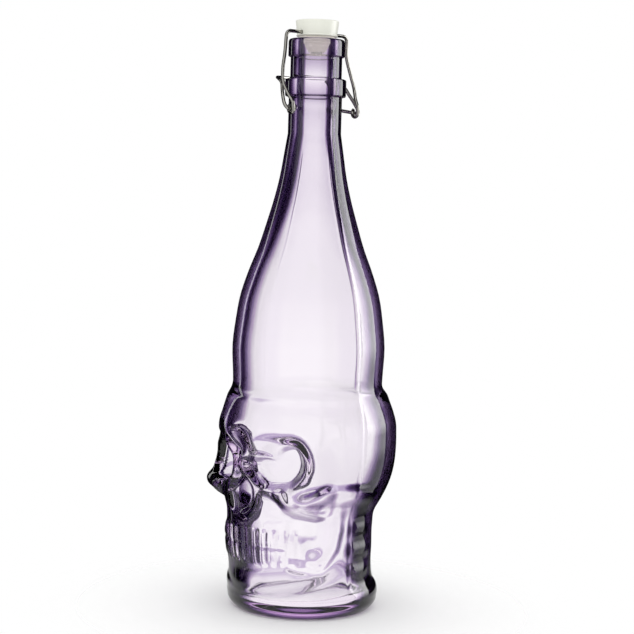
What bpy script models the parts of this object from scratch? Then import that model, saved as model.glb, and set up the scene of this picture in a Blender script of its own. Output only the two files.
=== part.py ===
"""A lilac glass swing-top bottle whose lower third is moulded as a skull.

Real size in metres, +Z up. The bottle stands on z = 0 with its neck on the Z axis.
The face looks along -Y. The stopper's wires turn about an axis along Y through the neck.
"""

import math

import bmesh
import bpy
import numpy as np
from mathutils import Matrix, Vector

# Heights of the bottle's stretches, from the table up
SKULL_HEIGHT = 0.1245
CONE_HEIGHT = 0.1355
NECK_HEIGHT = 0.020
COLLAR_HEIGHT = 0.0096
FINISH_HEIGHT = 0.0119
LIP_HEIGHT = 0.0095

# Radii and reaches of the outside
FOOT_RADIUS = 0.0417
BEARING_RADIUS = 0.0368
BEARING_WIDTH = 0.0035
CREASE_RADIUS = 0.0410
CONE_RADIUS = 0.0418
NECK_RADIUS = 0.0145
COLLAR_RADIUS = 0.0166
FINISH_RADIUS = 0.0140
LIP_RADIUS = 0.01535
SKULL_HALF_WIDTH = 0.0460
FACE_REACH = 0.0495
NAPE_REACH = 0.0528

# Glass thickness and the hollow
WALL = 0.0030
BORE_RADIUS = 0.0085
FLOOR_THICKNESS = 0.0070
FLOOR_CORNER = 0.0060
PUSH_UP = 0.0045
FLOOR_CROWN = 0.0025
EDGE_ROUND = 0.0011
FOOT_HEIGHT = 0.0090

# Depths and heights of the skull's relief
SOCKET_DEPTH = 0.0120
NASION_DEPTH = 0.0056
NOSE_DEPTH = 0.0085
CHEEK_RISE = 0.0088
CHEEK_HOLLOW = 0.0038
FOREHEAD_PINCH = 0.0016
TEMPLE_HOLLOW = 0.0010
RAMUS_RISE = 0.0016
CHIN_RISE = 0.0014
JAW_RIM_RISE = 0.0016
NAPE_RISE = 0.0016
NAPE_PITCH = 0.0110

# Swing closure: wire, pivot and eyes
WIRE_RADIUS = 0.0008
RUNNING_GAP = 0.0003
PIVOT_DROP = 0.0064
DIMPLE_DEPTH = 0.0020
DIMPLE_CLEARANCE = 0.0005
EYE_FORWARD = 0.0072
EYE_DROP = 0.0012
EYE_OUTSET = 0.0081
EYE_RING_RADIUS = 0.0022
EYE_STRAIGHT = 0.0024
BAIL_CLEARANCE = 0.0060
BAIL_BOW = 0.0036
BAIL_CORNER = 0.0030
LEVER_CLEARANCE = 0.0052
LEVER_RISE = 0.0172

# Stopper: head, stem, tunnel for the bail wire, and seal
HEAD_HEIGHT = 0.0086
HEAD_TOP_RADIUS = 0.0118
HEAD_BASE_RADIUS = 0.0098
HEAD_ROUND = 0.0016
TUNNEL_CLEARANCE = 0.0004
TUNNEL_FLOOR = 0.0006
STEM_RADIUS = 0.0032
STEM_TIP = 0.0012
SEAL_FLANGE_OVERLAP = 0.0017
SEAL_FLANGE_HEIGHT = 0.0008
SEAL_CLEARANCE = 0.0008
SEAL_WALL = 0.0009
SEAL_DEPTH = 0.0070

# How finely the surfaces are divided, with angles in degrees
FACE_STEPS = 48
NAPE_STEPS = 20
SKULL_ROWS = 40
HOLLOW_ROWS = 27
ROUND_STEPS = 40
WALL_HEADINGS = 8
CUT_STEPS = 14
CUT_OVERRUN = 0.0050
ROUTE_STEPS = 3
WIRE_RESOLUTION = 2
CORNER_TURNS = (30, 60, 90)
EYE_FIRST_TURN = 125
EYE_LAST_TURN = 341
EYE_TURN_STEP = 24
SHARP_ANGLE = 40

# Skull sections: height, half width, reach of the face, reach of the nape, as shares
# of SKULL_HEIGHT, SKULL_HALF_WIDTH, FACE_REACH and NAPE_REACH
SECTION_SHARES = (
    (0.000, 0.870, 0.848, 0.758),
    (0.100, 0.878, 0.848, 0.765),
    (0.145, 0.852, 0.848, 0.720),
    (0.201, 0.837, 0.861, 0.703),
    (0.281, 0.835, 0.905, 0.706),
    (0.378, 0.839, 0.925, 0.706),
    (0.442, 0.854, 0.925, 0.731),
    (0.490, 0.900, 0.927, 0.818),
    (0.538, 0.941, 0.929, 0.894),
    (0.586, 0.970, 0.937, 0.951),
    (0.643, 0.991, 0.954, 0.985),
    (0.707, 1.000, 0.978, 1.000),
    (0.771, 1.000, 0.996, 1.000),
    (0.819, 1.000, 1.000, 0.989),
    (0.876, 0.980, 0.978, 0.939),
    (0.932, 0.941, 0.917, 0.877),
    (0.964, 0.920, 0.873, 0.848),
    (1.000, 0.891, 0.828, 0.777),
)

# Cone outline: height from the crease as a share of CONE_HEIGHT, and radius between
# NECK_RADIUS (0) and CONE_RADIUS (1)
CONE_SHARES = (
    (0.000, 0.971),
    (0.030, 0.978),
    (0.150, 1.000),
    (0.245, 0.949),
    (0.345, 0.868),
    (0.446, 0.711),
    (0.540, 0.531),
    (0.640, 0.377),
    (0.741, 0.234),
    (0.827, 0.136),
    (0.921, 0.062),
    (1.000, 0.000),
)

# Heel of the foot: height as a share of FOOT_HEIGHT, and radius between
# BEARING_RADIUS (0) and FOOT_RADIUS (1)
HEEL_SHARES = ((0.00, 0.00), (0.12, 0.28), (0.40, 0.74), (1.00, 1.00))

# Oval patches: angle and half angle in degrees from the middle of the face, height and
# half height as shares of SKULL_HEIGHT, and the share that is rim
SOCKET_SHARES = (32.5, 18.5, 0.679, 0.114, 0.30)
FOREHEAD_SHARES = (44.0, 32.0, 0.851, 0.145, 1.00)
NASION_SHARES = (0.0, 19.0, 0.735, 0.080, 1.00)
TEMPLE_SHARES = (72.0, 18.0, 0.707, 0.096, 1.00)
RAMUS_SHARES = (79.0, 16.0, 0.305, 0.177, 0.50)
CHIN_SHARES = (0.0, 24.0, 0.137, 0.076, 1.00)
NAPE_SHARES = (180.0, 20.0, 0.321, 0.145, 0.60)
SOCKET_SOFT_SHARE = 0.80

# Strokes of relief: angle in degrees, height as a share of SKULL_HEIGHT, strength, and half
# width as a share of SKULL_HEIGHT. The orbit's ridge runs from the brow round to the cheek.
ORBIT_SHARES = (
    (8.0, 0.811, 0.05, 0.052),
    (30.0, 0.823, 0.09, 0.056),
    (48.0, 0.787, 0.10, 0.064),
    (57.0, 0.707, 0.20, 0.080),
    (57.0, 0.643, 0.54, 0.084),
    (54.0, 0.586, 0.66, 0.088),
    (47.0, 0.530, 0.97, 0.088),
    (36.0, 0.510, 0.70, 0.088),
    (22.0, 0.546, 0.15, 0.064),
)
ARCH_SHARES = (
    (52.0, 0.542, 0.30, 0.064),
    (66.0, 0.550, 0.27, 0.052),
    (84.0, 0.550, 0.24, 0.044),
    (104.0, 0.538, 0.12, 0.044),
    (116.0, 0.530, 0.00, 0.044),
)
NOSE_SHARES = (
    (0.0, 0.622, 0.40, 0.028),
    (4.5, 0.562, 0.90, 0.044),
    (7.0, 0.514, 1.00, 0.056),
    (5.5, 0.494, 1.00, 0.048),
)
HOLLOW_SHARES = (
    (26.0, 0.426, 0.20, 0.072),
    (44.0, 0.406, 1.00, 0.088),
    (57.0, 0.394, 1.00, 0.104),
    (64.0, 0.321, 0.60, 0.088),
)
JAW_RIM_SHARES = (
    (0.0, 0.084, 1.00, 0.036),
    (22.0, 0.104, 1.00, 0.036),
    (50.0, 0.145, 1.00, 0.036),
    (75.0, 0.193, 1.00, 0.040),
    (90.0, 0.249, 0.60, 0.044),
    (96.0, 0.337, 0.00, 0.044),
)
STROKE_RIM_SHARE = 0.75
FOOT_BLEND_SHARES = (0.075, 0.140)
CREASE_BLEND_SHARES = (0.940, 1.000)

# Bail leg from the eye up: height as a share of the bail's rise over the pivot, place as
# a share of EYE_FORWARD, and spread between the crossbar's half span (0) and BAIL_BOW (1)
BAIL_SHARES = (
    (0.055, 1.210, 0.42),
    (0.150, 0.860, 0.64),
    (0.320, 0.400, 1.00),
    (0.500, 0.125, 0.69),
    (0.720, -0.040, 0.11),
)

# Lever stub: place as a share of EYE_FORWARD, and spread between its tip (0) and the eye (1)
STUB_SHARES = ((0.00, 0.00), (0.00, 0.37), (0.10, 0.63), (0.55, 0.83), (0.88, 0.90))

# Lever arm from the eye (0) to the middle of the bow (1): back, up, and spread as a share
# of the spread at the eye
ARM_SHARES = (
    (0.000, 0.000, 1.000),
    (0.010, 0.022, 1.050),
    (0.062, 0.130, 1.080),
    (0.145, 0.337, 1.050),
    (0.231, 0.554, 0.992),
    (0.324, 0.772, 0.924),
    (0.524, 0.913, 0.824),
    (0.752, 0.967, 0.630),
    (0.924, 0.995, 0.353),
    (1.000, 1.000, 0.000),
)

# Rings between the wall and the middle of the floor and of the pushed-up base, as shares of
# the radius; where the seal starts to narrow; and the inset of a rounded edge's middle point
FLOOR_RING_SHARES = (0.6, 0.3)
PUSH_UP_RING_SHARES = (0.8, 0.4)
SEAL_STRAIGHT_SHARE = 0.25
HEAD_BEND_SHARE = 0.3

# Derived heights
CREASE_Z = SKULL_HEIGHT
NECK_Z = CREASE_Z + CONE_HEIGHT
COLLAR_Z = NECK_Z + NECK_HEIGHT
FINISH_Z = COLLAR_Z + COLLAR_HEIGHT
LIP_Z = FINISH_Z + FINISH_HEIGHT
MOUTH_Z = LIP_Z + LIP_HEIGHT
PIVOT_Z = COLLAR_Z - PIVOT_DROP
EYE_Z = PIVOT_Z - EYE_DROP
FLANGE_Z = MOUTH_Z + RUNNING_GAP
HEAD_Z = FLANGE_Z + SEAL_FLANGE_HEIGHT + RUNNING_GAP
TUNNEL_RADIUS = WIRE_RADIUS + TUNNEL_CLEARANCE
TUNNEL_Z = HEAD_Z + TUNNEL_FLOOR + TUNNEL_RADIUS

# Derived spreads of the wires
EYE_SPREAD = NECK_RADIUS + EYE_OUTSET
BAIL_HALF_SPAN = LIP_RADIUS + BAIL_CLEARANCE
LEVER_REACH = COLLAR_RADIUS + LEVER_CLEARANCE


def smooth(share):
    """Ease from 0 to 1 with level ends."""
    t = np.clip(share, 0.0, 1.0)
    return t * t * (3.0 - 2.0 * t)


def follow(table, column, share):
    """Read a column of a table at a share of its first column, on a smooth curve."""
    xs = np.array([row[0] for row in table])
    ys = np.array([row[column] for row in table])
    slopes = np.gradient(ys, xs)
    share = np.clip(share, xs[0], xs[-1])
    low = np.clip(np.searchsorted(xs, share, side="right") - 1, 0, len(xs) - 2)
    span = xs[low + 1] - xs[low]
    t = (share - xs[low]) / span
    rise = ys[low + 1] - ys[low]
    bend_low = slopes[low] * span - rise
    bend_high = rise - slopes[low + 1] * span
    return ys[low] + rise * t + t * (1 - t) * (bend_low * (1 - t) + bend_high * t)


def patch(shares, angle, height, crisp=None):
    """Weight from 0 to 1 of an oval patch, mirrored on both sides of the face."""
    middle, half_angle, middle_height, half_height, rim = shares
    side = np.abs(np.degrees(angle))
    across = (side - middle) / half_angle
    up = (height / SKULL_HEIGHT - middle_height) / half_height
    reach = np.sqrt(across * across + up * up)
    if crisp is not None:
        lean = (across - up / 2) / np.maximum(reach, rim * rim)
        rim = rim + (crisp - rim) * smooth((1 - lean) / 2)
    return smooth((1.0 - reach) / rim)


def stroke(table, angle, height):
    """Strength of a stroke of relief through a table's points, mirrored on both sides."""
    across = np.abs(angle) * SKULL_HALF_WIDTH
    best = np.zeros(np.shape(angle))
    for start, end in zip(table, table[1:]):
        ax, bx = (math.radians(p[0]) * SKULL_HALF_WIDTH for p in (start, end))
        az, bz = (p[1] * SKULL_HEIGHT for p in (start, end))
        along = (across - ax) * (bx - ax) + (height - az) * (bz - az)
        t = np.clip(along / ((bx - ax) ** 2 + (bz - az) ** 2), 0, 1)
        away = np.hypot(across - ax - t * (bx - ax), height - az - t * (bz - az))
        strength = start[2] + (end[2] - start[2]) * t
        width = (start[3] + (end[3] - start[3]) * t) * SKULL_HEIGHT
        best = np.maximum(best, strength * smooth((1 - away / width) / STROKE_RIM_SHARE))
    return best


def skull_radius(angle, height):
    """Outside radius of the skull. The angle is 0 on the face and half a turn on the nape."""
    share = height / SKULL_HEIGHT
    wide = SKULL_HALF_WIDTH * follow(SECTION_SHARES, 1, share)
    front = FACE_REACH * follow(SECTION_SHARES, 2, share)
    back = NAPE_REACH * follow(SECTION_SHARES, 3, share)
    long = np.where(np.cos(angle) > 0, front, back)
    radius = 1 / np.hypot(np.sin(angle) / wide, np.cos(angle) / long)
    radius = radius - FOREHEAD_PINCH * patch(FOREHEAD_SHARES, angle, height)
    radius = radius - TEMPLE_HOLLOW * patch(TEMPLE_SHARES, angle, height)
    radius = radius + CHEEK_RISE * stroke(ORBIT_SHARES, angle, height)
    radius = radius + CHEEK_RISE * stroke(ARCH_SHARES, angle, height)
    radius = radius + RAMUS_RISE * patch(RAMUS_SHARES, angle, height)
    radius = radius + CHIN_RISE * patch(CHIN_SHARES, angle, height)
    radius = radius - SOCKET_DEPTH * patch(SOCKET_SHARES, angle, height, SOCKET_SOFT_SHARE)
    radius = radius - NASION_DEPTH * patch(NASION_SHARES, angle, height)
    radius = radius - NOSE_DEPTH * stroke(NOSE_SHARES, angle, height)
    radius = radius - CHEEK_HOLLOW * stroke(HOLLOW_SHARES, angle, height)
    radius = radius + JAW_RIM_RISE * stroke(JAW_RIM_SHARES, angle, height)
    lumps = (1 + np.cos(2 * math.pi * height / NAPE_PITCH)) / 2
    radius = radius + NAPE_RISE * lumps * patch(NAPE_SHARES, angle, height)
    low, high = FOOT_BLEND_SHARES
    radius = FOOT_RADIUS + (radius - FOOT_RADIUS) * smooth((share - low) / (high - low))
    low, high = CREASE_BLEND_SHARES
    return radius + (CREASE_RADIUS - radius) * smooth((share - low) / (high - low))


def outer_radius(angle, height):
    """Outside radius of the glass from the bearing ring to the foot of the collar."""
    heel = BEARING_RADIUS + (FOOT_RADIUS - BEARING_RADIUS) * follow(
        HEEL_SHARES, 1, height / FOOT_HEIGHT
    )
    up = (height - CREASE_Z) / CONE_HEIGHT
    cone = NECK_RADIUS + (CONE_RADIUS - NECK_RADIUS) * follow(CONE_SHARES, 1, up)
    body = np.where(height < CREASE_Z, skull_radius(angle, height), cone)
    return np.where(height < FOOT_HEIGHT, heel, body)


def inner_radius(angle, height):
    """Inside radius: the least outside radius near by, less the wall, down to the bore."""
    least = outer_radius(angle, height)
    turn = WALL / SKULL_HALF_WIDTH
    for step in range(WALL_HEADINGS):
        heading = 2 * math.pi * step / WALL_HEADINGS
        near = outer_radius(
            angle + turn * math.cos(heading), height + WALL * math.sin(heading)
        )
        least = np.minimum(least, near)
    up = smooth((height - CREASE_Z) / CONE_HEIGHT)
    wall = WALL + (NECK_RADIUS - BORE_RADIUS - WALL) * up
    return np.maximum(least - wall, BORE_RADIUS)


def ring_angles():
    """Angles round the skull, closer together over the face than over the nape."""
    face = [math.pi * (i / FACE_STEPS - 1 / 2) for i in range(FACE_STEPS)]
    nape = [math.pi * (i / NAPE_STEPS + 1 / 2) for i in range(NAPE_STEPS)]
    return np.array(face + nape)


def add_ring(bm, angles, radii, heights):
    """Add one ring of vertices at the given radii, starting from the face."""
    heights = np.broadcast_to(heights, angles.shape)
    radii = np.broadcast_to(radii, angles.shape)
    return [
        bm.verts.new((r * math.sin(a), -r * math.cos(a), z))
        for a, r, z in zip(angles, radii, heights)
    ]


def join_rings(bm, first, second):
    """Join two rings with faces. The second may have half as many vertices."""
    count = len(second)
    if len(first) == count:
        for i in range(count):
            j = (i + 1) % count
            bm.faces.new((first[i], first[j], second[j], second[i]))
        return
    for i in range(count):
        j = (i + 1) % count
        a, b, c = first[2 * i], first[2 * i + 1], first[(2 * i + 2) % len(first)]
        bm.faces.new((a, b, second[i]))
        bm.faces.new((b, second[j], second[i]))
        bm.faces.new((b, c, second[j]))


def close_ring(bm, ring, height):
    """Close a ring with a fan to a point on the axis."""
    middle = bm.verts.new((0, 0, height))
    for i, vert in enumerate(ring):
        bm.faces.new((vert, ring[(i + 1) % len(ring)], middle))


def object_from(name, bm, material):
    """Make an object of a bmesh, with its faces pointing out."""
    bmesh.ops.recalc_face_normals(bm, faces=bm.faces)
    mesh = bpy.data.meshes.new(name)
    bm.to_mesh(mesh)
    bm.free()
    mesh.shade_smooth()
    mesh.set_sharp_from_angle(angle=math.radians(SHARP_ANGLE))
    mesh.materials.append(material)
    made = bpy.data.objects.new(name, mesh)
    bpy.context.scene.collection.objects.link(made)
    return made


def make_material(name, colour, roughness, metallic=0.0, transmission=0.0):
    """Make a Principled material."""
    material = bpy.data.materials.new(name)
    material.use_nodes = True
    shader = material.node_tree.nodes["Principled BSDF"]
    shader.inputs["Base Color"].default_value = colour
    shader.inputs["Roughness"].default_value = roughness
    shader.inputs["Metallic"].default_value = metallic
    shader.inputs["Transmission Weight"].default_value = transmission
    material.diffuse_color = colour
    return material


def lathe(name, profile, material):
    """Turn a closed profile of (radius, height) points round the Z axis."""
    bm = bmesh.new()
    angles = np.arange(ROUND_STEPS) * 2 * math.pi / ROUND_STEPS
    top, bottom = profile[0], profile[-1]
    closed = top[0] > 0
    rings = [add_ring(bm, angles, r, z) for r, z in profile if r > 0]
    for first, second in zip(rings, rings[1:]):
        join_rings(bm, first, second)
    if closed:
        join_rings(bm, rings[-1], rings[0])
    else:
        close_ring(bm, rings[0], top[1])
        close_ring(bm, rings[-1], bottom[1])
    return object_from(name, bm, material)


def neck_profile():
    """Collar, finish, lip and mouth, from the foot of the collar over the lip to the bore."""
    e = EDGE_ROUND
    return [
        (NECK_RADIUS, COLLAR_Z - e),
        (COLLAR_RADIUS - e, COLLAR_Z),
        (COLLAR_RADIUS, COLLAR_Z + e),
        (COLLAR_RADIUS, FINISH_Z - e),
        (COLLAR_RADIUS - e, FINISH_Z),
        (FINISH_RADIUS, FINISH_Z + e),
        (FINISH_RADIUS, LIP_Z - e),
        (LIP_RADIUS - e, LIP_Z),
        (LIP_RADIUS, LIP_Z + e),
        (LIP_RADIUS, MOUTH_Z - 2 * e),
        (LIP_RADIUS - e / 2, MOUTH_Z - e / 2),
        (LIP_RADIUS - 2 * e, MOUTH_Z),
        (BORE_RADIUS + e, MOUTH_Z),
        (BORE_RADIUS, MOUTH_Z - e),
    ]


def make_bottle(material):
    """Make the whole glass: outside, lip, hollow and pushed-up base, with two dimples."""
    bm = bmesh.new()
    fine = ring_angles()
    coarse = fine[::2]
    rings = []
    heel = [row[0] * FOOT_HEIGHT for row in HEEL_SHARES]
    skull_span = CREASE_Z - FOOT_HEIGHT
    skull = [FOOT_HEIGHT + skull_span * i / SKULL_ROWS for i in range(1, SKULL_ROWS + 1)]
    for z in heel + skull:
        rings.append(add_ring(bm, fine, outer_radius(fine, np.full(fine.shape, z)), z))
    for share, _ in CONE_SHARES[1:]:
        z = CREASE_Z + CONE_HEIGHT * share
        rings.append(add_ring(bm, coarse, outer_radius(coarse, np.full(coarse.shape, z)), z))
    for r, z in neck_profile():
        rings.append(add_ring(bm, coarse, r, z))
    rows = [NECK_Z] + [CREASE_Z + CONE_HEIGHT * row[0] for row in CONE_SHARES[::-1][1:]]
    floor_z = FLOOR_THICKNESS + FLOOR_CORNER
    step = (CREASE_Z - floor_z) / HOLLOW_ROWS
    rows += [CREASE_Z - step * i for i in range(1, HOLLOW_ROWS + 1)]
    for z in rows:
        rings.append(add_ring(bm, coarse, inner_radius(coarse, np.full(coarse.shape, z)), z))
    low = inner_radius(coarse, np.full(coarse.shape, floor_z))
    for turn in CORNER_TURNS:
        drop = FLOOR_CORNER * math.sin(math.radians(turn))
        inset = FLOOR_CORNER * (1 - math.cos(math.radians(turn)))
        rings.append(add_ring(bm, coarse, low - inset, floor_z - drop))
    for share in FLOOR_RING_SHARES:
        crown = FLOOR_CROWN * (1 - share * share)
        rings.append(add_ring(bm, coarse, low * share, FLOOR_THICKNESS + crown))
    for first, second in zip(rings, rings[1:]):
        join_rings(bm, first, second)
    close_ring(bm, rings[-1], FLOOR_THICKNESS + FLOOR_CROWN)
    inside = BEARING_RADIUS - BEARING_WIDTH
    base = [rings[0], add_ring(bm, fine, inside, 0)]
    for share in PUSH_UP_RING_SHARES:
        rise = PUSH_UP * (1 - share * share)
        base.append(add_ring(bm, coarse, inside * share, rise))
    for first, second in zip(base, base[1:]):
        join_rings(bm, first, second)
    close_ring(bm, base[-1], PUSH_UP)
    glass = object_from("bottle_glass", bm, material)
    inner = NECK_RADIUS - DIMPLE_DEPTH
    outer = NECK_RADIUS + CUT_OVERRUN
    for side in (-1, 1):
        radius = WIRE_RADIUS + DIMPLE_CLEARANCE
        cut_away(glass, make_cutter(radius, side * inner, side * outer, PIVOT_Z, material))
    return glass


def make_cutter(radius, start, end, height, material):
    """Make a round cutter along Y, on the bottle's axis plane."""
    bm = bmesh.new()
    rings = []
    for reach in (start, end):
        ring = []
        for i in range(CUT_STEPS):
            a = 2 * math.pi * i / CUT_STEPS
            ring.append(bm.verts.new((radius * math.cos(a), reach, height + radius * math.sin(a))))
        rings.append(ring)
    join_rings(bm, rings[0], rings[1])
    bm.faces.new(rings[0])
    bm.faces.new(rings[1])
    cutter = object_from("cutter", bm, material)
    cutter.hide_render = True
    cutter.display_type = "WIRE"
    return cutter


def cut_away(body, cutter):
    """Cut a hole with a live Boolean."""
    cut = body.modifiers.new(cutter.name, "BOOLEAN")
    cut.object = cutter
    cut.operation = "DIFFERENCE"
    cut.solver = "EXACT"


def smooth_route(points, steps):
    """Points of a smooth curve through the given ones."""
    route = []
    padded = [points[0]] + list(points) + [points[-1]]
    for a, b, c, d in zip(padded, padded[1:], padded[2:], padded[3:]):
        a, b, c, d = (np.array(p) for p in (a, b, c, d))
        for i in range(steps):
            t = i / steps
            route.append(
                b
                + (c - a) * t / 2
                + (a - b * 5 / 2 + c * 2 - d / 2) * t * t
                + ((b - c) * 3 / 2 + (d - a) / 2) * t * t * t
            )
    route.append(np.array(points[-1]))
    return route


def make_wire(name, route, origin, material):
    """Make a round wire along a route given in the bottle's frame, with its own origin."""
    curve = bpy.data.curves.new(name, "CURVE")
    curve.dimensions = "3D"
    curve.bevel_depth = WIRE_RADIUS
    curve.bevel_resolution = WIRE_RESOLUTION
    curve.use_fill_caps = True
    spline = curve.splines.new("POLY")
    spline.points.add(len(route) - 1)
    for point, place in zip(spline.points, route):
        x, y, z = np.array(place) - np.array(origin)
        point.co = (x, y, z, 1)
    curve.materials.append(material)
    wire = bpy.data.objects.new(name, curve)
    wire.location = origin
    bpy.context.scene.collection.objects.link(wire)
    return wire


def bail_half():
    """Half of the bail wire, from the free end of its eye on the +Y side to mid-span."""
    eye = []
    for turn in range(EYE_FIRST_TURN, EYE_LAST_TURN + 1, EYE_TURN_STEP):
        a = math.radians(turn)
        x = EYE_FORWARD + EYE_RING_RADIUS * math.cos(a)
        eye.append((x, EYE_SPREAD, EYE_Z + EYE_RING_RADIUS * math.sin(a)))
    rise = TUNNEL_Z - PIVOT_Z
    leg = [
        (EYE_FORWARD * forward, BAIL_HALF_SPAN + BAIL_BOW * bow, PIVOT_Z + rise * up)
        for up, forward, bow in BAIL_SHARES
    ]
    corner = []
    for turn in (0,) + CORNER_TURNS:
        a = math.radians(turn)
        spread = BAIL_HALF_SPAN - BAIL_CORNER * (1 - math.cos(a))
        corner.append((0, spread, TUNNEL_Z - BAIL_CORNER * (1 - math.sin(a))))
    return smooth_route(eye + leg + corner, ROUTE_STEPS) + [np.array((0, 0, TUNNEL_Z))]


def lever_half():
    """Half of the lever wire, from its tip in the dimple on the +Y side to mid-bow."""
    tip = NECK_RADIUS - DIMPLE_DEPTH + RUNNING_GAP
    near = EYE_SPREAD - EYE_STRAIGHT / 2
    far = EYE_SPREAD + EYE_STRAIGHT / 2
    stub = [
        (EYE_FORWARD * forward, tip + (near - tip) * out, PIVOT_Z - EYE_DROP * forward)
        for forward, out in STUB_SHARES
    ]
    eye = [(EYE_FORWARD, near, EYE_Z)]
    back = EYE_FORWARD + LEVER_REACH
    up = EYE_DROP + LEVER_RISE
    arm = [
        (EYE_FORWARD - back * behind, far * spread, EYE_Z + up * over)
        for behind, over, spread in ARM_SHARES
    ]
    return smooth_route(stub + eye + arm, ROUTE_STEPS)


def mirrored(half):
    """A route and its mirror image on the -Y side, joined at the middle."""
    other = [(x, -y, z) for x, y, z in reversed(half)]
    return list(half) + other[1:]


def set_origin(made, origin):
    """Move an object's origin, leaving its shape where it is."""
    made.data.transform(Matrix.Translation(Vector(origin)).inverted())
    made.location = origin


def make_head(material):
    """Make the stopper head with its stem and the tunnel for the bail wire."""
    top = HEAD_Z + HEAD_HEIGHT
    bend = HEAD_ROUND * HEAD_BEND_SHARE
    profile = [
        (0, top),
        (HEAD_TOP_RADIUS - HEAD_ROUND, top),
        (HEAD_TOP_RADIUS - bend, top - bend),
        (HEAD_TOP_RADIUS, top - HEAD_ROUND),
        (HEAD_BASE_RADIUS, HEAD_Z + RUNNING_GAP),
        (HEAD_BASE_RADIUS - RUNNING_GAP, HEAD_Z),
        (STEM_RADIUS, HEAD_Z),
        (STEM_RADIUS, MOUTH_Z - SEAL_DEPTH),
        (STEM_RADIUS - STEM_TIP, MOUTH_Z - SEAL_DEPTH - STEM_TIP),
        (0, MOUTH_Z - SEAL_DEPTH - STEM_TIP),
    ]
    head = lathe("stopper_head", profile, material)
    reach = HEAD_TOP_RADIUS + CUT_OVERRUN
    cut_away(head, make_cutter(TUNNEL_RADIUS, -reach, reach, TUNNEL_Z, material))
    set_origin(head, (0, 0, TUNNEL_Z))
    return head


def make_seal(material):
    """Make the soft seal: a flange on the lip and a cone in the mouth, round the stem."""
    hole = STEM_RADIUS + RUNNING_GAP
    top = FLANGE_Z + SEAL_FLANGE_HEIGHT
    bottom = MOUTH_Z - SEAL_DEPTH
    profile = [
        (hole, top),
        (BORE_RADIUS + SEAL_FLANGE_OVERLAP, top),
        (BORE_RADIUS + SEAL_FLANGE_OVERLAP, FLANGE_Z),
        (BORE_RADIUS - SEAL_CLEARANCE, FLANGE_Z),
        (BORE_RADIUS - SEAL_CLEARANCE, MOUTH_Z - SEAL_DEPTH * SEAL_STRAIGHT_SHARE),
        (hole + SEAL_WALL, bottom),
        (hole, bottom),
    ]
    seal = lathe("stopper_seal", profile, material)
    set_origin(seal, (0, 0, TUNNEL_Z))
    return seal


def main():
    """Clear the scene and make the bottle's five pieces."""
    for old in list(bpy.data.objects):
        bpy.data.objects.remove(old, do_unlink=True)
    glass = make_material("lilac glass", (0.80, 0.72, 0.88, 1), 0.02, transmission=1.0)
    steel = make_material("zinc-plated steel wire", (0.72, 0.72, 0.73, 1), 0.25, metallic=1.0)
    plastic = make_material("white moulded plastic", (0.90, 0.90, 0.90, 1), 0.35)
    silicone = make_material("translucent silicone", (0.92, 0.88, 0.88, 1), 0.45)
    make_bottle(glass)
    make_head(plastic)
    make_seal(silicone)
    make_wire("bail_wire", mirrored(bail_half()), (EYE_FORWARD, 0, EYE_Z), steel)
    make_wire("lever_wire", mirrored(lever_half()), (0, 0, PIVOT_Z), steel)


main()
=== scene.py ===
"""Dresses the skull bottle: clear lilac glass, bright wires and a white swing stopper."""

import logging
import math
from dataclasses import dataclass
from enum import Enum

import bpy
import numpy as np
from mathutils import Matrix, Vector


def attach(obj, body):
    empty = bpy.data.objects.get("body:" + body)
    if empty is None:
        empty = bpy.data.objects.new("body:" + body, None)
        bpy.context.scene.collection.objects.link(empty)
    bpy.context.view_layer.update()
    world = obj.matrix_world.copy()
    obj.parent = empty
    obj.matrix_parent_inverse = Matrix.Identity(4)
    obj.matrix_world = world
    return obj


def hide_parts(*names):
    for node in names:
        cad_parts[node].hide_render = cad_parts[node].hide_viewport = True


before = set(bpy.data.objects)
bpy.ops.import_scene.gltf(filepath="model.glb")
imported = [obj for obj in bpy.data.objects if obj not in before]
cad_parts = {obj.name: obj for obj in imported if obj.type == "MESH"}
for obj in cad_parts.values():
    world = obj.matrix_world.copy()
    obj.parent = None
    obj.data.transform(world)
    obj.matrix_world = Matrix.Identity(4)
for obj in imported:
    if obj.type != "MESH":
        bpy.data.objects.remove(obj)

LOG = logging.getLogger("skull_bottle")

# Metres in a millimetre, and the distance in metres under which two points are one
MM = 0.001
MERGE_DISTANCE = MM / 1000

# Helpers


def linear(code: str) -> tuple[float, float, float, float]:
    """Turn an sRGB hex value into a linear colour.

    Args:
        code: six hex digits after a hash sign.

    Returns:
        The linear colour with full alpha.
    """
    parts = [int(code[i : i + 2], 16) / 255 for i in (1, 3, 5)]
    curve = [p / 12.92 if p <= 0.04045 else ((p + 0.055) / 1.055) ** 2.4 for p in parts]
    return (curve[0], curve[1], curve[2], 1.0)


def lay_marks(ramp: bpy.types.ColorRamp, marks: tuple[tuple[float, str], ...]) -> None:
    """Lay coloured marks along a colour ramp.

    Args:
        ramp: the ramp, as a new node has it.
        marks: place from 0 to 1 and sRGB colour of each mark, in order.
    """
    ramp.elements.remove(ramp.elements[1])
    for turn, (place, colour) in enumerate(marks):
        element = ramp.elements[0] if turn == 0 else ramp.elements.new(place)
        element.position = place
        element.color = linear(colour)


def add_node(
    tree: bpy.types.NodeTree, kind: str, settings: dict | None = None, links: dict | None = None
) -> bpy.types.Node:
    """Add one node with its settings and links.

    Args:
        tree: the node tree to add to.
        kind: the node's type name.
        settings: attribute or socket names with their values, and "marks" for a colour ramp.
        links: input socket names with the output sockets that feed them.

    Returns:
        The new node.
    """
    node = tree.nodes.new(kind)
    for name, value in (settings or {}).items():
        if name == "marks":
            lay_marks(node.color_ramp, value)
        elif hasattr(node, str(name)):
            setattr(node, name, value)
        else:
            node.inputs[name].default_value = value
    for name, socket in (links or {}).items():
        tree.links.new(socket, node.inputs[name])
    return node


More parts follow.
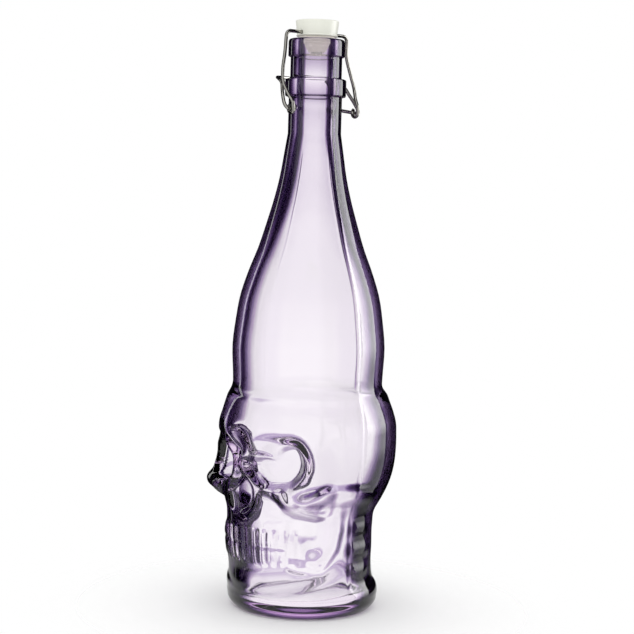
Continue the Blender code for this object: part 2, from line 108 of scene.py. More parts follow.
def deselect_all() -> None:
    """Leave edit mode and clear the selection."""
    if bpy.context.object and bpy.context.object.mode != "OBJECT":
        bpy.ops.object.mode_set(mode="OBJECT")
    bpy.ops.object.select_all(action="DESELECT")


def make_active(piece: bpy.types.Object) -> None:
    """Select one object alone and make it active.

    Args:
        piece: the object.
    """
    deselect_all()
    piece.select_set(True)
    bpy.context.view_layer.objects.active = piece


def close_mesh(piece: bpy.types.Object) -> None:
    """Merge what touches in a mesh and turn its faces outwards.

    Args:
        piece: the mesh object, which is active.
    """
    bpy.ops.object.mode_set(mode="EDIT")
    bpy.ops.mesh.select_all(action="SELECT")
    bpy.ops.mesh.remove_doubles(threshold=MERGE_DISTANCE)
    bpy.ops.mesh.normals_make_consistent(inside=False)
    bpy.ops.object.mode_set(mode="OBJECT")
    LOG.info("%s: closed with %d points", piece.name, len(piece.data.vertices))


def read_points(piece: bpy.types.Object) -> np.ndarray:
    """Read a mesh's vertices.

    Args:
        piece: the mesh object.

    Returns:
        One row of x, y, z for each vertex.
    """
    points = np.empty(len(piece.data.vertices) * 3)
    piece.data.vertices.foreach_get("co", points)
    return points.reshape(-1, 3)


def write_points(piece: bpy.types.Object, points: np.ndarray) -> None:
    """Write a mesh's vertices back."""
    piece.data.vertices.foreach_set("co", points.ravel())
    piece.data.update()


def turn_on_lathe(name: str, profile: list[tuple[float, float]], steps: int) -> bpy.types.Object:
    """Draw a profile edge by edge and spin it round the Z axis.

    Args:
        name: the new object's name.
        profile: radius and height of each point in mm, closed through the axis or on itself.
        steps: how many divisions the spin makes.

    Returns:
        The closed mesh object.
    """
    deselect_all()
    profile = [(radius * MM, height * MM) for radius, height in profile]
    radius, height = profile[0]
    bpy.ops.mesh.primitive_plane_add(size=MM, location=(0, 0, 0))
    piece = bpy.context.object
    piece.name = name
    piece.data.name = name
    bpy.ops.object.mode_set(mode="EDIT")
    bpy.ops.mesh.select_all(action="SELECT")
    bpy.ops.mesh.merge(type="CENTER")
    bpy.ops.transform.translate(value=(radius, 0, height))
    for (r0, z0), (r1, z1) in zip(profile, profile[1:]):
        bpy.ops.mesh.extrude_region_move(
            TRANSFORM_OT_translate={"value": (r1 - r0, 0, z1 - z0)}
        )
    bpy.ops.mesh.select_all(action="SELECT")
    bpy.ops.mesh.spin(steps=steps, angle=math.tau, center=(0, 0, 0), axis=(0, 0, 1))
    close_mesh(piece)
    return piece


def hand_over(
    piece: bpy.types.Object, body: str, slot: str, material: bpy.types.Material, *nodes: str
) -> None:
    """Give a finished piece its material, and let it ride and stand for CAD nodes.

    Args:
        piece: the finished object.
        body: the body that carries it.
        slot: the record's material slot; not used.
        material: the finish.
        nodes: the CAD nodes that it stands for.
    """
    piece.data.materials.clear()
    piece.data.materials.append(material)
    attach(piece, body)
    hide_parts(*nodes)


# The skull's form, in mm

# Skull sections in mm: height, half width, reach of the face, reach of the nape
SECTIONS = (
    (0.0, 40.0, 42.0, 40.0),
    (12.5, 40.4, 42.0, 40.4),
    (18.0, 39.2, 42.0, 38.0),
    (25.0, 38.5, 42.6, 37.1),
    (35.0, 38.4, 44.8, 37.3),
    (47.0, 38.6, 45.8, 37.3),
    (55.0, 39.3, 45.8, 38.6),
    (61.0, 41.4, 45.9, 43.2),
    (67.0, 43.3, 46.0, 47.2),
    (73.0, 44.6, 46.4, 50.2),
    (80.0, 45.6, 47.2, 52.0),
    (88.0, 46.0, 48.4, 52.8),
    (96.0, 46.0, 49.3, 52.8),
    (102.0, 46.0, 49.5, 52.2),
    (109.0, 45.1, 48.4, 49.6),
    (116.0, 43.3, 45.4, 46.3),
    (120.0, 42.3, 43.2, 44.8),
    (124.5, 41.0, 41.0, 41.0),
)

# Cone outline: share of its height, and radius between the neck (0) and the cone (1)
CONE_SHARES = (
    (0.000, 0.971),
    (0.030, 0.978),
    (0.150, 1.000),
    (0.245, 0.949),
    (0.345, 0.868),
    (0.446, 0.711),
    (0.540, 0.531),
    (0.640, 0.377),
    (0.741, 0.234),
    (0.827, 0.136),
    (0.921, 0.062),
    (1.000, 0.000),
)

CREASE_HEIGHT = 124.5
CONE_HEIGHT = 135.5
CONE_RADIUS = 41.8
NECK_RADIUS = 14.5

# Heights of the lever's pivots in the neck and of the wire's tunnel through the stopper
PIVOT_HEIGHT = 273.6
TUNNEL_HEIGHT = 314.2

# Strokes of relief: angle from the face in degrees, height in mm, strength, half width in mm
ORBIT_STROKE = (
    (8.0, 101.0, 0.05, 6.5),
    (30.0, 102.5, 0.09, 7.0),
    (48.0, 98.0, 0.10, 10.0),
    (56.0, 88.0, 0.20, 18.0),
    (56.0, 80.0, 0.46, 20.0),
    (55.0, 73.0, 0.63, 17.0),
    (48.0, 67.3, 0.97, 10.4),
    (40.0, 66.6, 0.80, 7.6),
    (33.5, 69.0, 0.50, 5.2),
)
CHEEK_STROKE = (
    (44.0, 66.0, 0.60, 8.0),
    (54.0, 63.6, 0.42, 8.0),
    (62.0, 61.6, 0.22, 8.0),
    (70.0, 60.5, 0.00, 8.0),
)
ARCH_STROKE = (
    (52.0, 67.5, 0.30, 8.0),
    (66.0, 68.0, 0.22, 8.0),
    (84.0, 68.0, 0.17, 7.5),
    (104.0, 67.0, 0.08, 7.0),
    (116.0, 66.0, 0.00, 7.0),
)
NOSE_STROKE = (
    (0.0, 78.5, 0.35, 3.0),
    (0.0, 73.0, 0.85, 6.0),
    (0.0, 67.5, 1.00, 12.0),
    (0.0, 66.0, 1.00, 12.0),
)
HOLLOW_STROKE = (
    (26.0, 53.0, 0.20, 9.0),
    (44.0, 50.5, 1.00, 11.0),
    (57.0, 49.0, 1.00, 11.0),
    (58.0, 42.0, 0.60, 9.0),
)
RAMUS_STROKE = (
    (73.0, 57.0, 0.60, 10.0),
    (73.5, 49.0, 1.00, 10.0),
    (71.0, 41.0, 1.00, 10.0),
    (63.0, 31.5, 0.90, 8.0),
    (50.0, 28.0, 0.25, 7.0),
    (38.0, 27.0, 0.00, 6.0),
)
JAW_RIM_STROKE = (
    (0.0, 10.5, 1.00, 4.5),
    (22.0, 13.0, 1.00, 4.5),
    (50.0, 18.0, 1.00, 4.5),
    (75.0, 24.0, 0.60, 5.0),
    (90.0, 31.0, 0.00, 5.5),
)
JAW_LINE_STROKE = (
    (36.5, 32.5, 0.60, 1.3),
    (39.0, 28.6, 1.00, 1.5),
    (48.5, 26.8, 1.00, 1.5),
    (60.0, 26.2, 0.70, 1.5),
    (70.0, 28.0, 0.00, 1.3),
)

# Edges between the teeth, in degrees from the middle of the face
TOOTH_EDGES = (0.0, 6.6, 12.8, 19.0, 25.6, 32.4, 39.4, 46.4, 52.0)


@dataclass(frozen=True)
class Patch:
    """An oval patch of relief, the same on both sides of the face.

    Angles are in degrees from the middle of the face and heights in mm. The rim is the share of
    the patch over which it fades, and soft_rim is that share on the side of the brow.
    """

    angle: float
    half_angle: float
    height: float
    half_height: float
    rim: float
    soft_rim: float | None = None


class Form(Enum):
    """The oval forms of the skull, each with its patch."""

    SOCKET = Patch(28.0, 23.0, 84.5, 14.2, rim=0.19, soft_rim=1.0)
    FOREHEAD = Patch(44.0, 32.0, 106.0, 18.0, rim=1.0)
    NASION = Patch(0.0, 13.0, 91.5, 10.0, rim=1.0)
    TEMPLE = Patch(72.0, 18.0, 88.0, 12.0, rim=1.0)
    CHIN = Patch(0.0, 24.0, 17.0, 9.5, rim=1.0)
    NAPE = Patch(103.0, 20.0, 36.0, 22.0, rim=0.5)


def smooth(share: np.ndarray | float) -> np.ndarray:
    """Ease from 0 to 1 with level ends."""
    t = np.clip(share, 0.0, 1.0)
    return t * t * (3.0 - 2.0 * t)


def ease(value: np.ndarray | float, start: float, end: float) -> np.ndarray:
    """Rise smoothly from 0 at one value to 1 at another, above or below it."""
    return smooth((value - start) / (end - start))


def follow(table: tuple, column: int, at: np.ndarray) -> np.ndarray:
    """Read a column of a table on a smooth curve.

    Args:
        table: rows whose first column rises.
        column: which column to read.
        at: places along the first column.

    Returns:
        The column's values there.
    """
    xs = np.array([row[0] for row in table])
    ys = np.array([row[column] for row in table])
    slopes = np.gradient(ys, xs)
    at = np.clip(at, xs[0], xs[-1])
    low = np.clip(np.searchsorted(xs, at, side="right") - 1, 0, len(xs) - 2)
    span = xs[low + 1] - xs[low]
    t = (at - xs[low]) / span
    rise = ys[low + 1] - ys[low]
    bend_low = slopes[low] * span - rise
    bend_high = rise - slopes[low + 1] * span
    return ys[low] + rise * t + t * (1 - t) * (bend_low * (1 - t) + bend_high * t)


def cone_radius(height: np.ndarray | float) -> np.ndarray:
    """Outside radius of the cone at a height in mm."""
    share = (np.asarray(height, dtype=float) - CREASE_HEIGHT) / CONE_HEIGHT
    return NECK_RADIUS + (CONE_RADIUS - NECK_RADIUS) * follow(CONE_SHARES, 1, share)


@dataclass
class SkullRelief:
    """Outside and inside of the skull as radii over angle and height, in mm.

    The angle is 0 on the face and half a turn on the nape.
    """

    # The skull's width, and the heights over which it runs into the foot and the crease
    half_width: float = 46.0
    crease_radius: float = 41.0
    crease_height: float = CREASE_HEIGHT
    foot_radius: float = 41.7
    foot_blend: tuple[float, float] = (9.3, 17.4)
    crease_blend: tuple[float, float] = (117.0, 124.5)

    # Walls of the skull and the cone, and the heights over which one becomes the other
    wall: float = 3.8
    cone_wall: float = 4.4
    wall_blend: tuple[float, float] = (105.0, 125.0)

    # How far the forms rise or sink
    socket_depth: float = 11.4
    nasion_depth: float = 4.2
    nose_depth: float = 4.4
    cheek_rise: float = 8.8
    cheek_hollow: float = 3.8
    forehead_pinch: float = 1.6
    temple_hollow: float = 1.0
    ramus_rise: float = 1.9
    chin_rise: float = 1.4
    jaw_rim_rise: float = 0.8
    jaw_line_depth: float = 0.5
    nape_rise: float = 0.75
    nape_pitch: float = 12.0

    # Both rows of teeth, the bite between them, and where they end on the side in degrees
    teeth: tuple[float, float] = (28.5, 50.0)
    teeth_fade: float = 3.0
    tooth_groove: float = 0.35
    tooth_groove_width: float = 0.9
    tooth_dome: float = 0.55
    tooth_dome_reach: float = 2.4
    bite: float = 39.6
    bite_groove: float = 0.4
    bite_groove_width: float = 1.1
    teeth_end: float = 50.0
    teeth_end_fade: float = 6.0

    # The seams that the two halves of the mould leave on the sides
    seam_rise: float = 0.28
    seam_half_width: float = 0.7
    seam_foot: tuple[float, float] = (12.0, 16.0)

    # Rims of strokes as shares of their half widths, and the brow side on which a rim is soft
    soft_rim: float = 0.75
    firm_rim: float = 0.45
    brow_side: tuple[float, float] = (-0.42, 0.9)
    brow_lean: tuple[float, float] = (0.25, 0.85)

    # Blurs of the cheeks, the outside, the inside and the crease
    cheek_blur: float = 1.2
    outer_blur: float = 0.5
    outer_crease_blur: float = 1.3
    inner_blurs: tuple[float, float] = (0.8, 1.4)
    inner_reach: float = 3.4
    inner_crease_blur: float = 2.0
    blur_passes: int = 3

    # Distances from the crease where its blur starts and is full, and where the nape stays sharp
    outer_crease: tuple[float, float] = (8.0, 3.0)
    inner_crease: tuple[float, float] = (12.0, 6.0)
    nape_turn: tuple[float, float] = (100.0, 130.0)
    nape_sharpness: float = 0.7

    # The grid on which the radii are worked out, and the rings that find the least radius
    angle_steps: int = 1080
    height_steps: int = 560
    height_top: float = 132.0
    ring_shares: tuple[float, float] = (0.5, 1.0)
    ring_turns: int = 12

    def __post_init__(self) -> None:
        """Work the relief out once, on a fine grid."""
        angles = np.linspace(-math.pi, math.pi, self.angle_steps, endpoint=False)
        heights = np.linspace(0.0, self.height_top, self.height_steps)
        angle, height = np.meshgrid(angles, heights)
        away = np.abs(height - self.crease_height)
        large = self.broad(angle, height)
        raw = self.joined(self.fine(large, angle, height), height)
        large = self.joined(large, height)
        near = ease(away, *self.outer_crease)
        near *= 1.0 - self.nape_sharpness * ease(np.abs(np.degrees(angle)), *self.nape_turn)
        eased = self.soften(raw, self.outer_blur) * (1 - near)
        eased += self.soften(raw, self.outer_crease_blur) * near
        self.outer_grid = self.detail(eased, angle, height)
        first_blur, last_blur = self.inner_blurs
        shrunk = self.erode(self.soften(large, first_blur), self.inner_reach)
        near = ease(away, *self.inner_crease)
        inside = self.soften(shrunk, last_blur) * (1 - near)
        inside += self.soften(large, self.inner_crease_blur) * near
        wall = self.wall + (self.cone_wall - self.wall) * ease(height, *self.wall_blend)
        self.inner_grid = inside - wall

    def patch(self, form: Form, angle: np.ndarray, height: np.ndarray) -> np.ndarray:
        """Weight of an oval patch.

        Args:
            form: which form of the skull.
            angle: angles from the face.
            height: heights in mm.

        Returns:
            Weights from 0 to 1.
        """
        oval = form.value
        across = (np.abs(np.degrees(angle)) - oval.angle) / oval.half_angle
        up = (height - oval.height) / oval.half_height
        reach = np.hypot(across, up)
        rim: np.ndarray | float = oval.rim
        if oval.soft_rim is not None:
            lean = across * self.brow_side[0] + up * self.brow_side[1]
            lean = lean / np.maximum(reach, 0.1)
            rim = oval.rim + (oval.soft_rim - oval.rim) * ease(lean, *self.brow_lean)
        return smooth((1.0 - reach) / rim)

    def stroke(
        self, table: tuple, angle: np.ndarray, height: np.ndarray, rim: float
    ) -> np.ndarray:
        """Strength of a stroke of relief through a table's points.

        Args:
            table: angle, height, strength and half width of each point.
            angle: angles from the face.
            height: heights in mm.
            rim: the part of the half width over which the stroke fades.

        Returns:
            Strengths from 0 to 1.
        """
        across = np.abs(angle) * self.half_width
        best = np.zeros(np.shape(angle))
        for start, end in zip(table, table[1:]):
            ax, bx = (math.radians(p[0]) * self.half_width for p in (start, end))
            dx, dz = bx - ax, end[1] - start[1]
            t = ((across - ax) * dx + (height - start[1]) * dz) / (dx * dx + dz * dz)
            t = np.clip(t, 0, 1)
            away = np.hypot(across - ax - t * dx, height - start[1] - t * dz)
            width = start[3] + (end[3] - start[3]) * t
            strength = start[2] + (end[2] - start[2]) * t
            best = np.maximum(best, strength * smooth((1 - away / width) / rim))
        return best

    def broad(self, angle: np.ndarray, height: np.ndarray) -> np.ndarray:
        """Outside radius with the large forms, which the hollow follows too.

        Args:
            angle: angles from the face.
            height: heights in mm.

        Returns:
            Radii in mm.
        """
        wide = follow(SECTIONS, 1, height)
        front = follow(SECTIONS, 2, height)
        back = follow(SECTIONS, 3, height)
        long = np.where(np.cos(angle) > 0, front, back)
        radius = 1 / np.hypot(np.sin(angle) / wide, np.cos(angle) / long)
        radius -= self.forehead_pinch * self.patch(Form.FOREHEAD, angle, height)
        radius -= self.temple_hollow * self.patch(Form.TEMPLE, angle, height)
        cheek = np.maximum(
            self.stroke(ORBIT_STROKE, angle, height, self.soft_rim),
            self.stroke(CHEEK_STROKE, angle, height, self.firm_rim),
        )
        cheek = self.soften(cheek, self.cheek_blur)
        socket = self.patch(Form.SOCKET, angle, height)
        radius += self.cheek_rise * cheek * (1 - socket)
        radius -= self.socket_depth * socket
        radius -= self.nasion_depth * self.patch(Form.NASION, angle, height)
        radius -= self.nose_depth * self.stroke(NOSE_STROKE, angle, height, self.firm_rim)
        return radius - self.cheek_hollow * self.stroke(HOLLOW_STROKE, angle, height, self.soft_rim)

    def fine(self, radius: np.ndarray, angle: np.ndarray, height: np.ndarray) -> np.ndarray:
        """Add the smaller forms, which only the outside has.

        Args:
            radius: radii of the large forms.
            angle: angles from the face.
            height: heights in mm.

        Returns:
            Radii in mm.
        """
        radius = radius + self.cheek_rise * self.stroke(ARCH_STROKE, angle, height, self.soft_rim)
        radius += self.chin_rise * self.patch(Form.CHIN, angle, height)
        radius += self.ramus_rise * self.stroke(RAMUS_STROKE, angle, height, self.soft_rim)
        radius += self.jaw_rim_rise * self.stroke(JAW_RIM_STROKE, angle, height, self.soft_rim)
        radius -= self.jaw_line_depth * self.stroke(JAW_LINE_STROKE, angle, height, self.soft_rim)
        lumps = (1 + np.cos(math.tau * height / self.nape_pitch)) / 2
        return radius + self.nape_rise * lumps * self.patch(Form.NAPE, angle, height)

    def joined(self, radius: np.ndarray, height: np.ndarray) -> np.ndarray:
        """Run the radii into the round foot below and the cone above.

        Args:
            radius: radii of the skull.
            height: heights in mm.

        Returns:
            Radii in mm.
        """
        share = ease(height, *self.foot_blend)
        radius = self.foot_radius + (radius - self.foot_radius) * share
        radius += (self.crease_radius - radius) * ease(height, *self.crease_blend)
        return np.where(height > self.crease_height, cone_radius(height), radius)

    def detail(self, radius: np.ndarray, angle: np.ndarray, height: np.ndarray) -> np.ndarray:
        """Cut the teeth and the mould seams into the outside.

        Args:
            radius: radii so far.
            angle: angles from the face.
            height: heights in mm.

        Returns:
            Radii with the detail.
        """
        side = np.abs(np.degrees(angle))
        low, high = self.teeth
        fade = ease(side, self.teeth_end, self.teeth_end - self.teeth_end_fade)
        rows = ease(height, low, low + self.teeth_fade) * fade
        rows = rows * ease(height, high, high - self.teeth_fade)
        away = np.min([np.abs(side - edge) for edge in TOOTH_EDGES], axis=0)
        away_mm = np.radians(away) * self.half_width
        groove = self.tooth_groove * np.exp(-((away_mm / self.tooth_groove_width) ** 2))
        dome = self.tooth_dome * smooth(away_mm / self.tooth_dome_reach)
        radius = radius + rows * (dome - groove)
        line = np.exp(-(((height - self.bite) / self.bite_groove_width) ** 2)) * fade
        radius = radius - self.bite_groove * line
        side_mm = (np.abs(angle) - math.pi / 2) * self.half_width
        seam = np.exp(-((side_mm / self.seam_half_width) ** 2))
        return radius + self.seam_rise * seam * ease(height, *self.seam_foot)

    def steps_for(self, reach: float) -> tuple[int, int]:
        """Turn a distance into grid steps.

        Args:
            reach: the distance in mm.

        Returns:
            How many steps it takes round and up.
        """
        round_mm = math.tau * self.half_width / self.angle_steps
        up_mm = self.height_top / (self.height_steps - 1)
        return max(1, round(reach / round_mm)), max(1, round(reach / up_mm))

    def shifted(self, grid: np.ndarray, across: int, up: int) -> np.ndarray:
        """Move a grid round and up, held at its top and bottom rows.

        Args:
            grid: radii over angle and height.
            across: steps round.
            up: steps up.

        Returns:
            The moved grid.
        """
        moved = np.roll(grid, across, axis=1)
        rows = np.clip(np.arange(len(grid)) - up, 0, len(grid) - 1)
        return moved[rows]

    def erode(self, grid: np.ndarray, reach: float) -> np.ndarray:
        """The least radius within a distance.

        Args:
            grid: radii over angle and height.
            reach: the distance in mm.

        Returns:
            The least radii.
        """
        across, up = self.steps_for(reach)
        least = grid
        for share in self.ring_shares:
            for turn in range(self.ring_turns):
                a = math.tau * turn / self.ring_turns
                aside, above = across * share * math.cos(a), up * share * math.sin(a)
                least = np.minimum(least, self.shifted(grid, round(aside), round(above)))
        return least

    def soften(self, grid: np.ndarray, reach: float) -> np.ndarray:
        """Blur a grid with passes of a box.

        Args:
            grid: radii over angle and height.
            reach: about the blur's radius in mm.

        Returns:
            The blurred radii.
        """
        across, up = self.steps_for(reach)
        for _ in range(self.blur_passes):
            total = np.cumsum(np.pad(grid, ((0, 0), (across + 1, across)), mode="wrap"), axis=1)
            width = 2 * across + 1
            grid = (total[:, width:] - total[:, :-width]) / width
            total = np.cumsum(np.pad(grid, ((up + 1, up), (0, 0)), mode="edge"), axis=0)
            width = 2 * up + 1
            grid = (total[width:] - total[:-width]) / width
        return grid

    def read(self, grid: np.ndarray, angle: np.ndarray, height: np.ndarray) -> np.ndarray:
        """Read a grid between its points.

        Args:
            grid: radii over angle and height.
            angle: angles from the face.
            height: heights in mm.

        Returns:
            Radii in mm.
        """
        across = (angle + math.pi) / math.tau * self.angle_steps
        up = np.clip(height / self.height_top * (self.height_steps - 1), 0, self.height_steps - 2)
        i, j = np.floor(up).astype(int), np.floor(across).astype(int)
        s, t = up - i, across - j
        j0, j1 = j % self.angle_steps, (j + 1) % self.angle_steps
        low = grid[i, j0] * (1 - t) + grid[i, j1] * t
        high = grid[i + 1, j0] * (1 - t) + grid[i + 1, j1] * t
        return low * (1 - s) + high * s


# The glass bottle, in mm


def rounded(corners: list[tuple[float, float, float]], steps: int) -> list[tuple[float, float]]:
    """Round the corners of an outline.

    Args:
        corners: radius, height and rounding of each corner, in mm.
        steps: how many edges each rounding gets.

    Returns:
        The outline's points.
    """
    points: list[tuple[float, float]] = []
    for i, (r, z, rounding) in enumerate(corners):
        if rounding == 0 or i in (0, len(corners) - 1):
            points.append((r, z))
            continue
        here = Vector((r, z))
        before = Vector(corners[i - 1][:2]) - here
        after = Vector(corners[i + 1][:2]) - here
        half = before.angle(after) / 2
        inset = min(rounding / math.tan(half), before.length * 0.49, after.length * 0.49)
        start, end = here + before.normalized() * inset, here + after.normalized() * inset
        for step in range(steps + 1):
            t = step / steps
            bend = start * (1 - t) ** 2 + here * 2 * t * (1 - t) + end * t * t
            points.append((bend.x, bend.y))
    return points


# Rings of the pushed-up base and of the floor, as shares of their radii
BASE_SHARES = (0.0, 0.15, 0.3, 0.45, 0.6, 0.72, 0.82, 0.9, 0.96)
FLOOR_SHARES = (0.88, 0.75, 0.6, 0.45, 0.3, 0.15, 0.0)

# Rings of the bearing face: distance out from its inner edge, and height
BEARING_RINGS = ((0.0, 0.1), (0.4, 0.0), (1.2, 0.0), (2.0, 0.0), (2.8, 0.0), (3.4, 0.1))

# The round heel: share of its height and of its way out, and the heights of its rings
HEEL_SHARES = ((0.0, 0.0), (0.12, 0.28), (0.40, 0.74), (1.0, 1.0))
HEEL_RINGS = (0.5, 1.0, 1.6, 2.3, 3.0, 3.8, 4.6, 5.5, 6.5, 7.5, 8.4)


@dataclass
class Bottle:
    """The glass: skull, cone, neck with collar and lip, hollow and pushed-up base. In mm."""

    relief: SkullRelief
    crease_height: float = CREASE_HEIGHT
    cone_height: float = CONE_HEIGHT

    # Neck, collar, finish and lip, with the rounding of their corners
    neck_radius: float = NECK_RADIUS
    collar_radius: float = 16.6
    finish_radius: float = 14.0
    lip_radius: float = 15.35
    collar_bottom: float = 280.0
    collar_top: float = 289.6
    lip_bottom: float = 301.5
    mouth: float = 311.0
    hollow_round: float = 0.7
    collar_round: float = 1.3
    lip_round: float = 1.1
    mouth_round: float = 1.8
    corner_steps: int = 5

    # Bore and hollow
    bore_radius: float = 8.5
    bore_rings: tuple[float, ...] = (303.0, 290.0, 275.0)
    hollow_mean: float = 36.0
    hollow_margin: float = 2.6

    # Foot and floor
    bearing: tuple[float, float] = (33.3, 36.8)
    push_up: float = 4.5
    foot_height: float = 9.0
    floor: float = 7.0
    floor_crown: float = 2.5
    floor_corner: float = 6.0
    floor_corner_step: int = 15

    # Dimples that hold the lever's tips
    pivot_height: float = PIVOT_HEIGHT
    dimple_radius: float = 1.5
    dimple_depth: float = 2.0
    dimple_rim: float = 0.4
    dimple_wall: float = 3.0
    dimple_band: float = 2.1
    dimple_rings: int = 12

    # Knurl of the bearing face: how many ridges, their height and where they fade
    knurl_count: int = 128
    knurl_height: float = 0.45
    knurl_top: float = 1.2
    knurl_inside: tuple[float, float] = (1.0, 1.6)
    knurl_outside: tuple[float, float] = (1.2, 0.6)

    # Seams of the mould on the cone and the neck
    seam_half_width: float = 0.6
    seam_start: float = 3.0
    seam_end: tuple[float, float] = (296.0, 300.0)
    seam_wall: float = 2.0

    # Columns, drawn together on the face between two pairs of heights, and rows
    face_bunching: float = 0.42
    inner_bunching: float = 0.4
    bunching_low: tuple[float, float] = (6.0, 14.0)
    bunching_high: tuple[float, float] = (116.0, 124.0)
    columns: int = 256
    skull_rows: int = 150
    hollow_rows: int = 60
    cone_rows: int = 28

    # How far above the crease the relief still shapes the cone, and two small tolerances
    joint_rise: float = 6.0
    height_slack: float = 0.01
    floor_slack: float = 0.1

    def outline(self) -> list[tuple[float, float]]:
        """Draw the outside from the middle of the base up to the mouth.

        Returns:
            Radius and height of each point.
        """
        inside, outside = self.bearing
        points = [(inside * share, self.push_up * (1 - share**2)) for share in BASE_SHARES]
        points += [(inside + out, height) for out, height in BEARING_RINGS]
        for height in HEEL_RINGS:
            share = float(follow(HEEL_SHARES, 1, np.array(height / self.foot_height)))
            points.append((outside + (self.relief.foot_radius - outside) * share, height))
        span = self.crease_height - self.foot_height
        for i in range(self.skull_rows + 1):
            points.append((self.relief.foot_radius, self.foot_height + span * i / self.skull_rows))
        for i in range(1, self.cone_rows + 1):
            height = self.crease_height + self.cone_height * i / self.cone_rows
            points.append((float(cone_radius(height)), height))
        low = self.pivot_height - self.dimple_band
        for i in range(self.dimple_rings + 1):
            height = low + 2 * self.dimple_band * i / self.dimple_rings
            points.append((self.neck_radius, height))
        finish = [
            (self.neck_radius, self.pivot_height + self.dimple_band, 0.0),
            (self.neck_radius, self.collar_bottom, self.hollow_round),
            (self.collar_radius, self.collar_bottom, self.collar_round),
            (self.collar_radius, self.collar_top, self.collar_round),
            (self.finish_radius, self.collar_top, self.hollow_round),
            (self.finish_radius, self.lip_bottom, self.hollow_round),
            (self.lip_radius, self.lip_bottom, self.lip_round),
            (self.lip_radius, self.mouth, self.mouth_round),
            (self.bore_radius, self.mouth, self.mouth_round),
            (self.bore_radius, self.bore_rings[0], 0.0),
        ]
        return points + rounded(finish, self.corner_steps)[1:]

    def hollow(self) -> list[tuple[float, float]]:
        """Draw the inside from the bore down to the middle of the floor.

        Returns:
            Radius and height of each point.
        """
        points = [(self.bore_radius, height) for height in self.bore_rings[1:]]
        wall = self.relief.cone_wall
        for i in range(self.cone_rows, 0, -1):
            share = i / self.cone_rows
            height = self.crease_height + self.cone_height * share
            thick = wall + (self.neck_radius - self.bore_radius - wall) * float(smooth(share))
            points.append((max(float(cone_radius(height)) - thick, self.bore_radius), height))
        bottom = self.floor + self.floor_corner
        span = self.crease_height - bottom
        for i in range(self.hollow_rows + 1):
            points.append((self.hollow_mean, self.crease_height - span * i / self.hollow_rows))
        for turn in range(self.floor_corner_step, 91, self.floor_corner_step):
            a = math.radians(turn)
            inset = self.floor_corner * (1 - math.cos(a))
            points.append((self.hollow_mean - inset, bottom - self.floor_corner * math.sin(a)))
        low = self.hollow_mean - self.floor_corner
        for share in FLOOR_SHARES:
            points.append((low * share, self.floor + self.floor_crown * (1 - share**2)))
        return points

    def bunched(self, angle: np.ndarray, height: np.ndarray, inner: np.ndarray) -> np.ndarray:
        """Draw the columns together on the face, where the relief is finest.

        Args:
            angle: angles from the face.
            height: heights in mm.
            inner: which points are on the inside, where the columns move less.

        Returns:
            The new angles.
        """
        bunch = self.face_bunching * ease(height, *self.bunching_low)
        bunch = bunch * (1 - ease(height, *self.bunching_high))
        bunch = np.where(inner, bunch * self.inner_bunching, bunch)
        return angle - bunch * np.sin(angle)

    def pushed(
        self, radius: np.ndarray, angle: np.ndarray, height: np.ndarray, inner: np.ndarray
    ) -> np.ndarray:
        """Push the outside and the inside of the skull to the radii of its relief.

        Args:
            radius: radii as turned.
            angle: angles from the face.
            height: heights in mm.
            inner: which points are on the inside.

        Returns:
            The new radii.
        """
        skull = height < self.crease_height + self.height_slack
        joint = ~skull & (height < self.crease_height + self.joint_rise)
        outer = ~inner & ((skull & (height > self.foot_height - self.height_slack)) | joint)
        outside = self.relief.read(self.relief.outer_grid, angle, height)
        bottom = self.floor + self.floor_corner
        inside = self.relief.read(self.relief.inner_grid, angle, np.maximum(height, bottom))
        pushed = np.where(outer, outside, radius)
        pushed = np.where(skull & inner, radius / self.hollow_mean * inside, pushed)
        return np.where(joint & inner, inside, pushed)

    def sculpt(self, points: np.ndarray) -> np.ndarray:
        """Push the turned glass into the skull's shape, with seams, dimples and knurl.

        Args:
            points: the turned vertices, in mm.

        Returns:
            The sculpted vertices, in mm.
        """
        x, y, z = points.T
        radius = np.hypot(x, y)
        inner = radius < self.hollow_mean + self.hollow_margin
        inner &= z > self.floor - self.floor_slack
        angle = self.bunched(np.arctan2(x, -y), z, inner)
        shaped = self.pushed(radius, angle, z, inner)

        side = (np.abs(angle) - math.pi / 2) * np.maximum(radius, 1)
        seam = self.relief.seam_rise * np.exp(-((side / self.seam_half_width) ** 2))
        seam *= ease(z, self.crease_height, self.crease_height + self.seam_start)
        seam *= 1 - ease(z, *self.seam_end)
        shaped += np.where(radius > self.bore_radius + self.seam_wall, seam, 0)
        x, y = shaped * np.sin(angle), -shaped * np.cos(angle)

        away = np.hypot(x, z - self.pivot_height)
        rim = self.dimple_radius - self.dimple_rim
        dent = self.dimple_depth * ease(away, self.dimple_radius, rim)
        y -= np.where(np.abs(y) > self.bore_radius + self.dimple_wall, np.sign(y) * dent, 0)

        knurl = self.knurl_height * (np.cos(angle * self.knurl_count) + 1) / 2
        inside, outside = self.bearing
        knurl *= ease(radius - inside, *self.knurl_inside)
        knurl *= ease(radius - outside, *self.knurl_outside)
        z = z + np.where(z < self.knurl_top, knurl, 0)
        return np.stack((x, y, z), axis=1)

    def build(self) -> bpy.types.Object:
        """Turn the outline on a lathe, then sculpt it.

        Returns:
            The glass.
        """
        piece = turn_on_lathe(
            "bottle_clear_glass", self.outline() + self.hollow(), self.columns
        )
        write_points(piece, self.sculpt(read_points(piece) / MM) * MM)
        make_active(piece)
        bpy.ops.object.shade_smooth()
        return piece

    def dress(self, glass: bpy.types.Material) -> list[bpy.types.Object]:
        """Build the bottle and dress it.

        Args:
            glass: the bottle's material.

        Returns:
            The bottle, alone in a list.
        """
        bottle = self.build()
        hand_over(bottle, "bottle", "lilac_glass", glass, "bottle_glass")
        return [bottle]


# The wires, in mm

